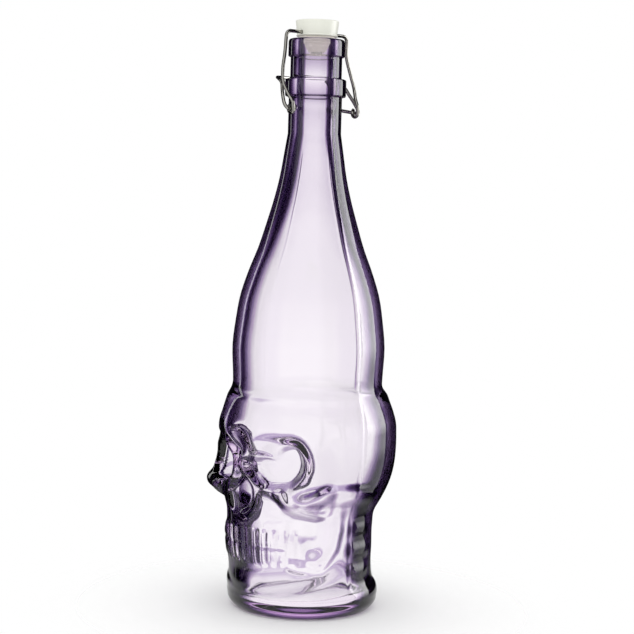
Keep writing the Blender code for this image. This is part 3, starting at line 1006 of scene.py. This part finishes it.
# The bail's leg: share of its rise, of the eye's way forward, and of its bow
BAIL_LEG = (
    (0.055, 1.210, 0.42),
    (0.150, 0.860, 0.64),
    (0.320, 0.400, 1.00),
    (0.500, 0.125, 0.69),
    (0.720, -0.040, 0.11),
)

# The lever's stub: share of its way forward, and of its way out to the eye
LEVER_STUB = ((0.0, 0.0), (0.0, 0.37), (0.10, 0.63), (0.55, 0.83), (0.88, 0.90))

# The lever's arm: share of its way behind, of its rise, and of its spread
LEVER_ARM = (
    (0.000, 0.000, 1.000),
    (0.010, 0.022, 1.050),
    (0.062, 0.130, 1.080),
    (0.145, 0.337, 1.050),
    (0.231, 0.554, 0.992),
    (0.324, 0.772, 0.924),
    (0.524, 0.913, 0.824),
    (0.752, 0.967, 0.630),
    (0.924, 0.995, 0.353),
    (1.000, 1.000, 0.000),
)


def smooth_route(points: list[tuple[float, float, float]], steps: int) -> list[np.ndarray]:
    """Points of a smooth curve through the given ones.

    Args:
        points: the points to pass through.
        steps: how many steps each span gets.

    Returns:
        The curve's points.
    """
    route = []
    padded = [points[0]] + list(points) + [points[-1]]
    for a, b, c, d in zip(padded, padded[1:], padded[2:], padded[3:]):
        a, b, c, d = (np.array(p, dtype=float) for p in (a, b, c, d))
        for i in range(steps):
            t = i / steps
            route.append(
                b
                + (c - a) * t / 2
                + (a - b * 5 / 2 + c * 2 - d / 2) * t * t
                + ((b - c) * 3 / 2 + (d - a) / 2) * t * t * t
            )
    route.append(np.array(points[-1], dtype=float))
    return route


@dataclass
class SwingWires:
    """The bail and the lever, both bent from one round wire. In mm."""

    radius: float = 0.95
    pivot_height: float = PIVOT_HEIGHT
    tunnel_height: float = TUNNEL_HEIGHT

    # The eyes: where they sit, their ring, and the turns in degrees over which it is bent
    eye_forward: float = 7.2
    eye_drop: float = 1.2
    eye_spread: float = 22.6
    eye_ring: float = 2.2
    eye_straight: float = 2.4
    eye_turns: tuple[int, int, int] = (125, 342, 12)

    # The bail's span and the turns of its corners, and the lever's tips and reach
    bail_half_span: float = 21.35
    bail_bow: float = 3.6
    bail_corner: float = 3.0
    corner_turns: tuple[int, ...] = (0, 30, 60, 90)
    stub_tip: float = 12.8
    lever_reach: float = 21.8
    lever_rise: float = 17.2

    # How finely the wires are drawn
    route_steps: int = 8
    resolution: int = 5
    edge_angle: float = 50.0

    def bail_half(self) -> list[np.ndarray]:
        """Route half of the bail, from the end of its eye on the +Y side to mid-span.

        Returns:
            The route's points.
        """
        eye_height = self.pivot_height - self.eye_drop
        points = []
        for turn in range(*self.eye_turns):
            a = math.radians(turn)
            x = self.eye_forward + self.eye_ring * math.cos(a)
            points.append((x, self.eye_spread, eye_height + self.eye_ring * math.sin(a)))
        rise = self.tunnel_height - self.pivot_height
        for up, forward, bow in BAIL_LEG:
            spread = self.bail_half_span + self.bail_bow * bow
            points.append((self.eye_forward * forward, spread, self.pivot_height + rise * up))
        for turn in self.corner_turns:
            a = math.radians(turn)
            spread = self.bail_half_span - self.bail_corner * (1 - math.cos(a))
            height = self.tunnel_height - self.bail_corner * (1 - math.sin(a))
            points.append((0, spread, height))
        return smooth_route(points, self.route_steps) + [np.array((0, 0, self.tunnel_height))]

    def lever_half(self) -> list[np.ndarray]:
        """Route half of the lever, from its tip in the glass on the +Y side to mid-bow.

        Returns:
            The route's points.
        """
        near = self.eye_spread - self.eye_straight / 2
        far = self.eye_spread + self.eye_straight / 2
        eye_height = self.pivot_height - self.eye_drop
        points = []
        for forward, out in LEVER_STUB:
            spread = self.stub_tip + (near - self.stub_tip) * out
            height = self.pivot_height - self.eye_drop * forward
            points.append((self.eye_forward * forward, spread, height))
        points.append((self.eye_forward, near, eye_height))
        back = self.eye_forward + self.lever_reach
        up = self.eye_drop + self.lever_rise
        for behind, over, spread in LEVER_ARM:
            x = self.eye_forward - back * behind
            points.append((x, far * spread, eye_height + up * over))
        return smooth_route(points, self.route_steps)

    def bend(self, name: str, half: list[np.ndarray]) -> bpy.types.Object:
        """Bend one wire from half its route and its mirror image.

        Args:
            name: the new object's name.
            half: points from one end to the middle, in mm.

        Returns:
            The wire as a mesh.
        """
        other = [np.array((p[0], -p[1], p[2])) for p in reversed(half)]
        route = list(half) + other[1:]
        curve = bpy.data.curves.new(name, "CURVE")
        curve.dimensions = "3D"
        curve.bevel_depth = self.radius * MM
        curve.bevel_resolution = self.resolution
        curve.use_fill_caps = True
        spline = curve.splines.new("POLY")
        spline.points.add(len(route) - 1)
        for point, place in zip(spline.points, route):
            point.co = (*(place * MM), 1)
        wire = bpy.data.objects.new(name, curve)
        bpy.context.scene.collection.objects.link(wire)
        make_active(wire)
        bpy.ops.object.convert(target="MESH")
        wire = bpy.context.object
        wire.name = name
        close_mesh(wire)
        bpy.ops.object.shade_smooth_by_angle(angle=math.radians(self.edge_angle))
        return wire

    def dress(self, steel: bpy.types.Material) -> list[bpy.types.Object]:
        """Bend the lever and the bail and dress them.

        Args:
            steel: the wires' material.

        Returns:
            The lever and the bail.
        """
        lever = self.bend("lever_wire_bent", self.lever_half())
        hand_over(lever, "lever", "steel_wire", steel, "lever_wire")
        bail = self.bend("bail_wire_bent", self.bail_half())
        hand_over(bail, "bail", "steel_wire", steel, "bail_wire")
        return [lever, bail]


# The stopper, in mm

# Ribs of the seal's cone: distance in from its widest, height and rounding
SEAL_RIBS = (
    (0.0, 309.6, 0.3),
    (0.5, 309.2, 0.2),
    (0.4, 308.4, 0.3),
    (1.1, 307.6, 0.3),
    (1.4, 306.6, 0.3),
)


@dataclass
class Stopper:
    """The white head with its stem, and the soft seal round the stem. In mm."""

    # The head, its dished top and the ring round its foot
    head_bottom: float = 312.4
    head_top: float = 321.0
    top_radius: float = 11.8
    bottom_radius: float = 10.9
    rounding: float = 1.5
    dish_radius: float = 9.2
    dish_depth: float = 0.6
    dish_slope: float = 0.9
    dish_edge_round: float = 0.8
    ring_height: float = 0.9
    ring_bulge: float = 0.35
    ring_foot: float = 0.2
    ring_middle: float = 0.6
    ring_rounds: tuple[float, float] = (0.5, 0.3)
    head_edge_angle: float = 35.0

    # The stem and the tunnel for the wire
    stem_radius: float = 3.2
    stem_bottom: float = 302.8
    stem_tip: float = 1.2
    stem_round: float = 0.5
    tunnel_height: float = TUNNEL_HEIGHT
    tunnel_radius: float = 1.2
    tunnel_sides: int = 32

    # The seal
    flange_bottom: float = 311.3
    flange_top: float = 312.1
    flange_radius: float = 10.2
    flange_round: float = 0.35
    stem_gap: float = 0.3
    plug_radius: float = 7.7
    plug_bottom: float = 304.0
    plug_wall: float = 0.9
    plug_rounds: tuple[float, float] = (0.3, 0.4)
    seal_edge_angle: float = 50.0

    # How finely both are turned
    steps: int = 128
    head_corner_steps: int = 5
    seal_corner_steps: int = 4

    def head(self) -> bpy.types.Object:
        """Turn the head and cut the wire's tunnel through it.

        Returns:
            The head with its stem.
        """
        dish = self.head_top - self.dish_depth
        ring_round, foot_round = self.ring_rounds
        ring_top = self.head_bottom + self.ring_height
        ring_middle = self.head_bottom + self.ring_height * self.ring_middle
        corners = [
            (0.0, dish, 0.0),
            (self.dish_radius, dish, self.rounding),
            (self.dish_radius + self.dish_slope, self.head_top, self.dish_edge_round),
            (self.top_radius, self.head_top, self.rounding),
            (self.bottom_radius, ring_top, ring_round),
            (self.bottom_radius + self.ring_bulge, ring_middle, foot_round),
            (self.bottom_radius + self.ring_foot, self.head_bottom, foot_round),
            (self.stem_radius, self.head_bottom, 0.0),
            (self.stem_radius, self.stem_bottom + self.stem_tip, self.stem_round),
            (self.stem_radius - self.stem_tip, self.stem_bottom, self.stem_round),
            (0.0, self.stem_bottom, 0.0),
        ]
        profile = rounded(corners, self.head_corner_steps)
        piece = turn_on_lathe("stopper_head_moulded", profile, self.steps)
        deselect_all()
        bpy.ops.mesh.primitive_cylinder_add(
            vertices=self.tunnel_sides,
            radius=self.tunnel_radius * MM,
            depth=self.top_radius * 3 * MM,
            location=(0, 0, self.tunnel_height * MM),
            rotation=(math.pi / 2, 0, 0),
        )
        cutter = bpy.context.object
        make_active(piece)
        cut = piece.modifiers.new("wire tunnel", "BOOLEAN")
        cut.object = cutter
        cut.operation = "DIFFERENCE"
        cut.solver = "EXACT"
        bpy.ops.object.modifier_apply(modifier=cut.name)
        bpy.data.objects.remove(cutter, do_unlink=True)
        bpy.ops.object.shade_smooth_by_angle(angle=math.radians(self.head_edge_angle))
        return piece

    def seal(self) -> bpy.types.Object:
        """Turn the seal: a flange on the lip and a ribbed cone in the mouth.

        Returns:
            The seal.
        """
        hole = self.stem_radius + self.stem_gap
        corner_round, tip_round = self.plug_rounds
        corners = [
            (hole, self.flange_top, 0.0),
            (self.flange_radius, self.flange_top, self.flange_round),
            (self.flange_radius, self.flange_bottom, self.flange_round),
            (self.plug_radius, self.flange_bottom, corner_round),
            *((self.plug_radius - inset, height, turn) for inset, height, turn in SEAL_RIBS),
            (hole + self.plug_wall, self.plug_bottom, tip_round),
            (hole, self.plug_bottom, 0.0),
            (hole, self.flange_top, 0.0),
        ]
        profile = rounded(corners, self.seal_corner_steps)
        piece = turn_on_lathe("stopper_seal_soft", profile, self.steps)
        make_active(piece)
        bpy.ops.object.shade_smooth_by_angle(angle=math.radians(self.seal_edge_angle))
        return piece

    def dress(
        self, plastic: bpy.types.Material, silicone: bpy.types.Material
    ) -> list[bpy.types.Object]:
        """Turn the head and the seal and dress them.

        Args:
            plastic: the head's material.
            silicone: the seal's material.

        Returns:
            The head and the seal.
        """
        head = self.head()
        hand_over(head, "stopper", "white_plastic", plastic, "stopper_head")
        seal = self.seal()
        hand_over(seal, "stopper", "clear_silicone", silicone, "stopper_seal")
        return [head, seal]


# Finishes


@dataclass(frozen=True)
class Grain:
    """An uneven pattern of a real size in mm, laid in a piece's own coordinates."""

    size: float
    detail: float

    def lay(self, tree: bpy.types.NodeTree) -> bpy.types.NodeSocket:
        """Lay the pattern over a piece.

        Args:
            tree: the material's node tree.

        Returns:
            The pattern's socket, from 0 to 1.
        """
        place = add_node(tree, "ShaderNodeTexCoord")
        noise = add_node(
            tree,
            "ShaderNodeTexNoise",
            {"Scale": 1 / (self.size * MM), "Detail": self.detail},
            {"Vector": place.outputs["Object"]},
        )
        return noise.outputs["Fac"]

    def emboss(
        self, tree: bpy.types.NodeTree, shader: bpy.types.Node, height: float, strength: float
    ) -> None:
        """Raise the pattern on a surface.

        Args:
            tree: the material's node tree.
            shader: the surface's shader.
            height: how high the pattern stands, in mm.
            strength: how much of it is felt, from 0 to 1.
        """
        bump = add_node(
            tree,
            "ShaderNodeBump",
            {"Strength": strength, "Distance": height * MM},
            {"Height": self.lay(tree)},
        )
        tree.links.new(bump.outputs["Normal"], shader.inputs["Normal"])

    def mottle(
        self, tree: bpy.types.NodeTree, shader: bpy.types.Node, least: float, most: float
    ) -> None:
        """Vary a surface's roughness by the pattern.

        Args:
            tree: the material's node tree.
            shader: the surface's shader.
            least: the least roughness.
            most: the most roughness.
        """
        rough = add_node(
            tree,
            "ShaderNodeMapRange",
            {"To Min": least, "To Max": most},
            {"Value": self.lay(tree)},
        )
        tree.links.new(rough.outputs["Result"], shader.inputs["Roughness"])


def start_material(
    name: str, sockets: dict[str, object]
) -> tuple[bpy.types.Material, bpy.types.NodeTree, bpy.types.Node]:
    """Start a material and set its shader's own sockets.

    Args:
        name: what the real material is.
        sockets: the shader's socket names with their values.

    Returns:
        The material, its node tree and its shader.
    """
    material = bpy.data.materials.new(name)
    material.use_nodes = True
    tree = material.node_tree
    shader = tree.nodes["Principled BSDF"]
    for socket, value in sockets.items():
        shader.inputs[socket].default_value = value
    return material, tree, shader


@dataclass(frozen=True)
class GlassFinish:
    """Soda-lime glass tinted lilac with manganese, blown and fire-polished."""

    # To the eye: clear and pale through the middle, dark violet where a wall is seen edge on
    # (partly the longer way through the glass, partly painted shade), and smooth as water but for
    # the slow ripples of blown glass

    name: str = "lilac soda-lime glass"
    absorbed: str = "#CE70DC"
    density: float = 13.0
    ior: float = 1.52
    roughness: float = 0.0
    ripples: Grain = Grain(14.0, 1.5)
    ripple_height: float = 0.05

    # Tint and painted shade by tilt, darkening the edges: 0 faces the viewer and 1 is edge on
    tint_and_shade_by_tilt: tuple[tuple[float, str], ...] = (
        (0.40, "#FFFFFF"),
        (0.49, "#A690B6"),
        (0.57, "#4C3A66"),
        (0.65, "#160C22"),
        (0.73, "#030108"),
    )

    # Where the edges darken more, partly for thicker wall and partly as painted shade: height in
    # metres at its start and its end, and how much
    neck_thickness_and_shade: tuple[float, float, float] = (0.185, 0.245, 1.75)
    heel_thickness_and_shade: tuple[float, float, float] = (0.120, 0.025, 1.45)

    # How flat a surface is before it counts as level and stays clear
    level_power: float = 4.0

    def edge_tint_and_shade(self, tree: bpy.types.NodeTree) -> bpy.types.NodeSocket:
        """Tint the glass by its tilt with painted shade, darker edge on, more at the neck and the
        heel, and not where it is level.

        Args:
            tree: the material's node tree.

        Returns:
            The socket of the tint with its painted shade.
        """
        facing = add_node(tree, "ShaderNodeLayerWeight", {"Blend": 0.5})
        place = add_node(tree, "ShaderNodeTexCoord")
        split = add_node(tree, "ShaderNodeSeparateXYZ", links={0: place.outputs["Object"]})
        wall = add_node(tree, "ShaderNodeNewGeometry")
        slope = add_node(tree, "ShaderNodeSeparateXYZ", links={0: wall.outputs["Normal"]})
        level = add_node(
            tree,
            "ShaderNodeMath",
            {"operation": "POWER", 1: self.level_power},
            {0: slope.outputs["Z"]},
        )
        upright = add_node(
            tree,
            "ShaderNodeMath",
            {"operation": "SUBTRACT", 0: 1.0},
            {1: level.outputs["Value"]},
        )
        factors = [upright.outputs["Value"]]
        # The neck and the heel get deeper painted shade at their edges
        for start, end, most in (self.neck_thickness_and_shade, self.heel_thickness_and_shade):
            thicker_and_shaded = add_node(
                tree,
                "ShaderNodeMapRange",
                {
                    "interpolation_type": "SMOOTHSTEP",
                    "From Min": start,
                    "From Max": end,
                    "To Min": 1.0,
                    "To Max": most,
                },
                {"Value": split.outputs["Z"]},
            )
            factors.append(thicker_and_shaded.outputs["Result"])
        tilt = facing.outputs["Facing"]
        for factor in factors:
            product = add_node(
                tree, "ShaderNodeMath", {"operation": "MULTIPLY"}, {0: tilt, 1: factor}
            )
            tilt = product.outputs["Value"]
        # Painted shade: dark violet where a wall is seen edge on
        tint = add_node(tree, "ShaderNodeValToRGB", {"marks": self.tint_and_shade_by_tilt}, {"Fac": tilt})
        return tint.outputs["Color"]

    def build(self) -> bpy.types.Material:
        """Make a clear surface with painted shade at its edges, over a volume that absorbs green.

        Returns:
            The material.
        """
        sockets = {
            "Roughness": self.roughness,
            "IOR": self.ior,
            "Transmission Weight": 1.0,
        }
        material, tree, shader = start_material(self.name, sockets)
        # The surface colour carries the painted shade of the edges, beside the volume's real tint
        tree.links.new(self.edge_tint_and_shade(tree), shader.inputs["Base Color"])
        self.ripples.emboss(tree, shader, self.ripple_height, 1.0)
        volume = add_node(
            tree,
            "ShaderNodeVolumeAbsorption",
            {"Color": linear(self.absorbed), "Density": self.density},
        )
        tree.links.new(volume.outputs["Volume"], tree.nodes["Material Output"].inputs["Volume"])
        return material


@dataclass(frozen=True)
class SteelFinish:
    """Bright zinc-plated spring wire, drawn through a die."""

    # To the eye: a mirror of its surroundings in long light and dark streaks, a little blurred by
    # draw lines. Real ones are too fine to show, and these are as coarse as they need to be

    name: str = "bright zinc-plated drawn wire"
    colour: str = "#A6A49E"
    roughness: tuple[float, float] = (0.02, 0.18)
    draw_lines: Grain = Grain(0.3, 2.0)

    def build(self) -> bpy.types.Material:
        """Make a bright metal with fine draw lines.

        Returns:
            The material.
        """
        sockets = {"Base Color": linear(self.colour), "Metallic": 1.0}
        material, tree, shader = start_material(self.name, sockets)
        self.draw_lines.mottle(tree, shader, *self.roughness)
        return material


@dataclass(frozen=True)
class PlasticFinish:
    """White polypropylene, injection moulded against a lightly grained tool."""

    # To the eye: a satin, slightly warm white whose edges glow a little. The tool's real grain is
    # too fine to show, and this one is as coarse as it needs to be

    name: str = "white moulded polypropylene"
    colour: str = "#ECEDE2"
    roughness: float = 0.38
    glow: float = 0.15
    glow_reach: float = 2.0
    grain: Grain = Grain(0.5, 3.0)
    grain_height: float = 0.02
    grain_strength: float = 0.4

    def build(self) -> bpy.types.Material:
        """Make a satin white with a little light inside.

        Returns:
            The material.
        """
        sockets = {
            "Base Color": linear(self.colour),
            "Roughness": self.roughness,
            "Subsurface Weight": self.glow,
            "Subsurface Radius": (self.glow_reach * MM,) * 3,
        }
        material, tree, shader = start_material(self.name, sockets)
        self.grain.emboss(tree, shader, self.grain_height, self.grain_strength)
        return material


@dataclass(frozen=True)
class SiliconeFinish:
    """Translucent silicone rubber, cast, with a faint bloom."""

    # To the eye: milky and half see-through, with a painted glow that stands in for the light
    # reaching it through the glass

    name: str = "translucent cast silicone"
    colour: str = "#F0ECE6"
    ior: float = 1.41
    clearness: float = 0.5
    # Strength of the painted glow
    painted_glow: float = 0.12
    roughness: tuple[float, float] = (0.35, 0.55)
    bloom: Grain = Grain(1.5, 2.0)

    def build(self) -> bpy.types.Material:
        """Make a milky, half see-through rubber with a painted glow.

        Returns:
            The material.
        """
        sockets = {
            "Base Color": linear(self.colour),
            "IOR": self.ior,
            "Transmission Weight": self.clearness,
            # Emission is painted light: a glow in place of the light that reaches the seal through
            # the glass
            "Emission Color": linear(self.colour),
            "Emission Strength": self.painted_glow,
        }
        material, tree, shader = start_material(self.name, sockets)
        self.bloom.mottle(tree, shader, *self.roughness)
        return material


# The studio, in metres

# The colour sockets of a Mix node: both inputs and the result
MIX_A, MIX_B, MIX_RESULT = 6, 7, 2


class LampReach(Enum):
    """What a lamp lights."""

    MIRRORS = "only what mirrors it"
    ALL = "every surface"


@dataclass(frozen=True)
class Lamp:
    """A soft lamp with a square-cornered face, in degrees, metres and watts.

    It hangs at a turn to the right of the camera, and at a rise over what it looks at.
    """

    name: str
    turn: float
    distance: float
    rise: float
    width: float
    height: float
    power: float
    reach: LampReach


@dataclass
class Studio:
    """Camera, white floor, white background with dark side flags, and soft lamps."""

    # The camera: where it stands round the bottle, and what it looks at
    azimuth: float = 50.0
    elevation: float = 4.2
    roll: float = 1.6
    lens: float = 93.7
    sensor: float = 36.0
    distance: float = 0.907
    aim: tuple[float, float, float] = (0.0, 0.0, 0.160)
    aim_right: float = 0.0042

    # The floor: it fades out, and is bright through the glass close under the bottle
    floor_colour: str = "#FFFFFF"
    floor_roughness: float = 0.9
    floor_radius: float = 0.24
    floor_sides: int = 96
    floor_fade: tuple[float, float] = (0.05, 0.16)
    bright_reach: tuple[float, float] = (0.040, 0.070)

    # Surroundings seen through the glass, by degrees to the right of the middle of the view
    seen_through: tuple[tuple[float, str], ...] = (
        (-180, "#FFFFFF"),
        (-134, "#FFFFFF"),
        (-120, "#B7A6CB"),
        (-94, "#B7A6CB"),
        (-80, "#271742"),
        (-54, "#271742"),
        (-47, "#8F7BAB"),
        (-40, "#FFFFFF"),
        (40, "#FFFFFF"),
        (47, "#8F7BAB"),
        (54, "#271742"),
        (80, "#271742"),
        (94, "#B7A6CB"),
        (120, "#B7A6CB"),
        (134, "#FFFFFF"),
        (180, "#FFFFFF"),
    )

    # Surroundings seen mirrored, by the same degrees
    mirrored: tuple[tuple[float, str], ...] = (
        (-180, "#F4F4F4"),
        (-114, "#F4F4F4"),
        (-100, "#16131A"),
        (150, "#16131A"),
        (166, "#F4F4F4"),
        (180, "#F4F4F4"),
    )

    # How they darken by height, from straight down at -1 to straight up at 1
    lights_by_rise: tuple[tuple[float, str], ...] = (
        (-0.60, "#A894BE"),
        (-0.38, "#C8BAD6"),
        (-0.28, "#FFFFFF"),
        (0.00, "#FFFFFF"),
        (0.12, "#C6BBD0"),
        (0.45, "#4E3D68"),
    )

    # The lamps, and the heights between which they brighten from their foot up
    lamps: tuple[Lamp, ...] = (
        Lamp("right_softbox", 105.0, 1.0, 0.1, 0.6, 1.3, 12.0, LampReach.MIRRORS),
        Lamp("left_softbox", -124.0, 1.0, 0.1, 0.08, 1.3, 0.8, LampReach.MIRRORS),
        Lamp("top_lamp", 0.0, 0.5, 1.2, 0.6, 0.6, 1.0, LampReach.ALL),
    )
    lamp_fade: tuple[float, float] = (-0.12, 0.12)
    lamp_foot: float = 0.2

    def axes(self) -> tuple[Vector, Vector, Vector]:
        """Find the camera's directions before its roll.

        Returns:
            Its right, its up and its back.
        """
        a, e = math.radians(self.azimuth), math.radians(self.elevation)
        back = Vector((math.sin(a) * math.cos(e), -math.cos(a) * math.cos(e), math.sin(e)))
        right = Vector((math.cos(a), math.sin(a), 0))
        return right, back.cross(right), back

    def camera(self) -> None:
        """Place the camera where the photograph was taken from."""
        right, up, back = self.axes()
        turn = Matrix((right, up, back)).transposed()
        turn = turn @ Matrix.Rotation(math.radians(self.roll), 3, "Z")
        data = bpy.data.cameras.new("photo_camera")
        data.lens = self.lens
        data.sensor_width = self.sensor
        seat = Vector(self.aim) + right * self.aim_right + back * self.distance
        camera = bpy.data.objects.new("photo_camera", data)
        camera.matrix_world = Matrix.Translation(seat) @ turn.to_4x4()
        bpy.context.scene.collection.objects.link(camera)
        bpy.context.scene.camera = camera
    def floor(self) -> None:
        """Lay a plain white floor that keeps the bottle's shadow."""
        deselect_all()
        bpy.ops.mesh.primitive_circle_add(
            vertices=self.floor_sides, radius=self.floor_radius, fill_type="NGON"
        )
        floor = bpy.context.object
        floor.name = "studio_floor"

        # Matt paint: a flat white that takes a soft shadow and has no shine
        sockets = {
            "Base Color": linear(self.floor_colour),
            "Roughness": self.floor_roughness,
            "Specular IOR Level": 0.0,
        }
        material, tree, shader = start_material("matt white floor paint", sockets)
        place = add_node(tree, "ShaderNodeTexCoord")
        reach = add_node(
            tree, "ShaderNodeVectorMath", {"operation": "LENGTH"}, {0: place.outputs["Object"]}
        )
        fade, under = (
            add_node(
                tree,
                "ShaderNodeMapRange",
                {"interpolation_type": "SMOOTHSTEP", "From Min": near, "From Max": far},
                {"Value": reach.outputs["Value"]},
            )
            for near, far in (self.floor_fade, self.bright_reach)
        )
        path = add_node(tree, "ShaderNodeLightPath")
        plain = add_node(tree, "ShaderNodeEmission", {"Color": (1, 1, 1, 1), "Strength": 1.0})
        clear = add_node(tree, "ShaderNodeBsdfTransparent")
        through, paint = (
            add_node(
                tree,
                "ShaderNodeMixShader",
                links={0: share.outputs["Result"], 1: near, 2: clear.outputs["BSDF"]},
            )
            for share, near in (
                (under, plain.outputs["Emission"]),
                (fade, shader.outputs["BSDF"]),
            )
        )
        mix = add_node(
            tree,
            "ShaderNodeMixShader",
            links={
                0: path.outputs["Is Transmission Ray"],
                1: paint.outputs["Shader"],
                2: through.outputs["Shader"],
            },
        )
        surface = tree.nodes["Material Output"].inputs["Surface"]
        tree.links.new(mix.outputs["Shader"], surface)
        floor.data.materials.append(material)

    def world(self) -> None:
        """Make the white surroundings: panels all round, with dark gaps between them."""
        world = bpy.data.worlds.new("white_studio")
        world.use_nodes = True
        bpy.context.scene.world = world
        tree = world.node_tree
        place = add_node(tree, "ShaderNodeTexCoord")
        split = add_node(tree, "ShaderNodeSeparateXYZ", links={0: place.outputs["Generated"]})
        heading = add_node(
            tree,
            "ShaderNodeMath",
            {"operation": "ARCTAN2"},
            {0: split.outputs["Y"], 1: split.outputs["X"]},
        )
        turned = add_node(
            tree,
            "ShaderNodeMath",
            {"operation": "SUBTRACT", 0: math.radians(self.azimuth) + math.pi / 2},
            {1: heading.outputs["Value"]},
        )
        wrapped = add_node(
            tree,
            "ShaderNodeMath",
            {"operation": "WRAP", 1: math.pi, 2: -math.pi},
            {0: turned.outputs["Value"]},
        )
        turn, rise = (
            add_node(
                tree,
                "ShaderNodeMath",
                {"operation": "MULTIPLY_ADD", 1: 1 / span, 2: 0.5},
                {0: direction},
            )
            for span, direction in (
                (math.tau, wrapped.outputs["Value"]),
                (2.0, split.outputs["Z"]),
            )
        )
        through, mirrored, fade = (
            add_node(
                tree,
                "ShaderNodeValToRGB",
                {"marks": tuple((at / span + 0.5, colour) for at, colour in table)},
                {"Fac": share.outputs["Value"]},
            )
            for table, span, share in (
                (self.seen_through, 360, turn),
                (self.mirrored, 360, turn),
                (self.lights_by_rise, 2, rise),
            )
        )
        path = add_node(tree, "ShaderNodeLightPath")
        mirror_path, clear_path = (
            add_node(
                tree,
                "ShaderNodeMath",
                {"operation": "SUBTRACT", "use_clamp": True},
                {0: path.outputs[kind], 1: path.outputs["Diffuse Depth"]},
            )
            for kind in ("Is Glossy Ray", "Is Transmission Ray")
        )
        shiny = add_node(
            tree,
            "ShaderNodeMix",
            {"data_type": "RGBA", MIX_A: (1, 1, 1, 1)},
            {0: mirror_path.outputs["Value"], MIX_B: mirrored.outputs["Color"]},
        )
        faded = add_node(
            tree,
            "ShaderNodeMix",
            {"data_type": "RGBA", "blend_type": "MULTIPLY", 0: 1.0},
            {MIX_A: through.outputs["Color"], MIX_B: fade.outputs["Color"]},
        )
        colour = add_node(
            tree,
            "ShaderNodeMix",
            {"data_type": "RGBA"},
            {
                0: clear_path.outputs["Value"],
                MIX_A: shiny.outputs[MIX_RESULT],
                MIX_B: faded.outputs[MIX_RESULT],
            },
        )
        tree.links.new(colour.outputs[MIX_RESULT], tree.nodes["Background"].inputs["Color"])

    def hang(self, lamp: Lamp) -> None:
        """Hang one soft lamp that looks at the bottle, and that the camera doesn't see.

        Args:
            lamp: the lamp.
        """
        right, _, back = self.axes()
        turn = math.radians(lamp.turn)
        away = (back * math.cos(turn) + right * math.sin(turn)) * lamp.distance
        seat = Vector(self.aim) + away + Vector((0, 0, lamp.rise))
        data = bpy.data.lights.new(lamp.name, "AREA")
        data.shape = "RECTANGLE"
        data.size = lamp.width
        data.size_y = lamp.height
        data.energy = lamp.power
        data.use_nodes = True
        tree = data.node_tree
        place = add_node(tree, "ShaderNodeNewGeometry")
        split = add_node(tree, "ShaderNodeSeparateXYZ", links={0: place.outputs["Position"]})
        low, high = self.lamp_fade
        fade = add_node(
            tree,
            "ShaderNodeMapRange",
            {"From Min": low, "From Max": high, "To Min": self.lamp_foot, "To Max": 1.0},
            {"Value": split.outputs["Z"]},
        )
        tree.links.new(fade.outputs["Result"], tree.nodes["Emission"].inputs["Strength"])
        hung = bpy.data.objects.new(lamp.name, data)
        hung.location = seat
        hung.visible_camera = False
        hung.visible_transmission = False
        hung.visible_diffuse = lamp.reach is LampReach.ALL
        look = Vector(self.aim) - seat
        hung.rotation_euler = look.to_track_quat("-Z", "Y").to_euler()
        bpy.context.scene.collection.objects.link(hung)
        LOG.info("%s: %.1f W on %s", lamp.name, lamp.power, lamp.reach.value)


# Assembly


def main() -> None:
    """Build the bottle, its closure and the studio."""
    logging.basicConfig(level=logging.INFO, format="%(name)s: %(message)s")
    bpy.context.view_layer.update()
    studio = Studio()
    studio.camera()
    glass, steel = GlassFinish().build(), SteelFinish().build()
    plastic, silicone = PlasticFinish().build(), SiliconeFinish().build()
    pieces = Bottle(SkullRelief()).dress(glass)
    pieces += SwingWires().dress(steel)
    pieces += Stopper().dress(plastic, silicone)
    for piece in pieces:
        LOG.info("%s: %d faces", piece.name, len(piece.data.polygons))
    studio.floor()
    studio.world()
    for lamp in studio.lamps:
        studio.hang(lamp)
    scene = bpy.context.scene
    scene.view_settings.view_transform = "Standard"


if __name__ == "__main__":
    main()
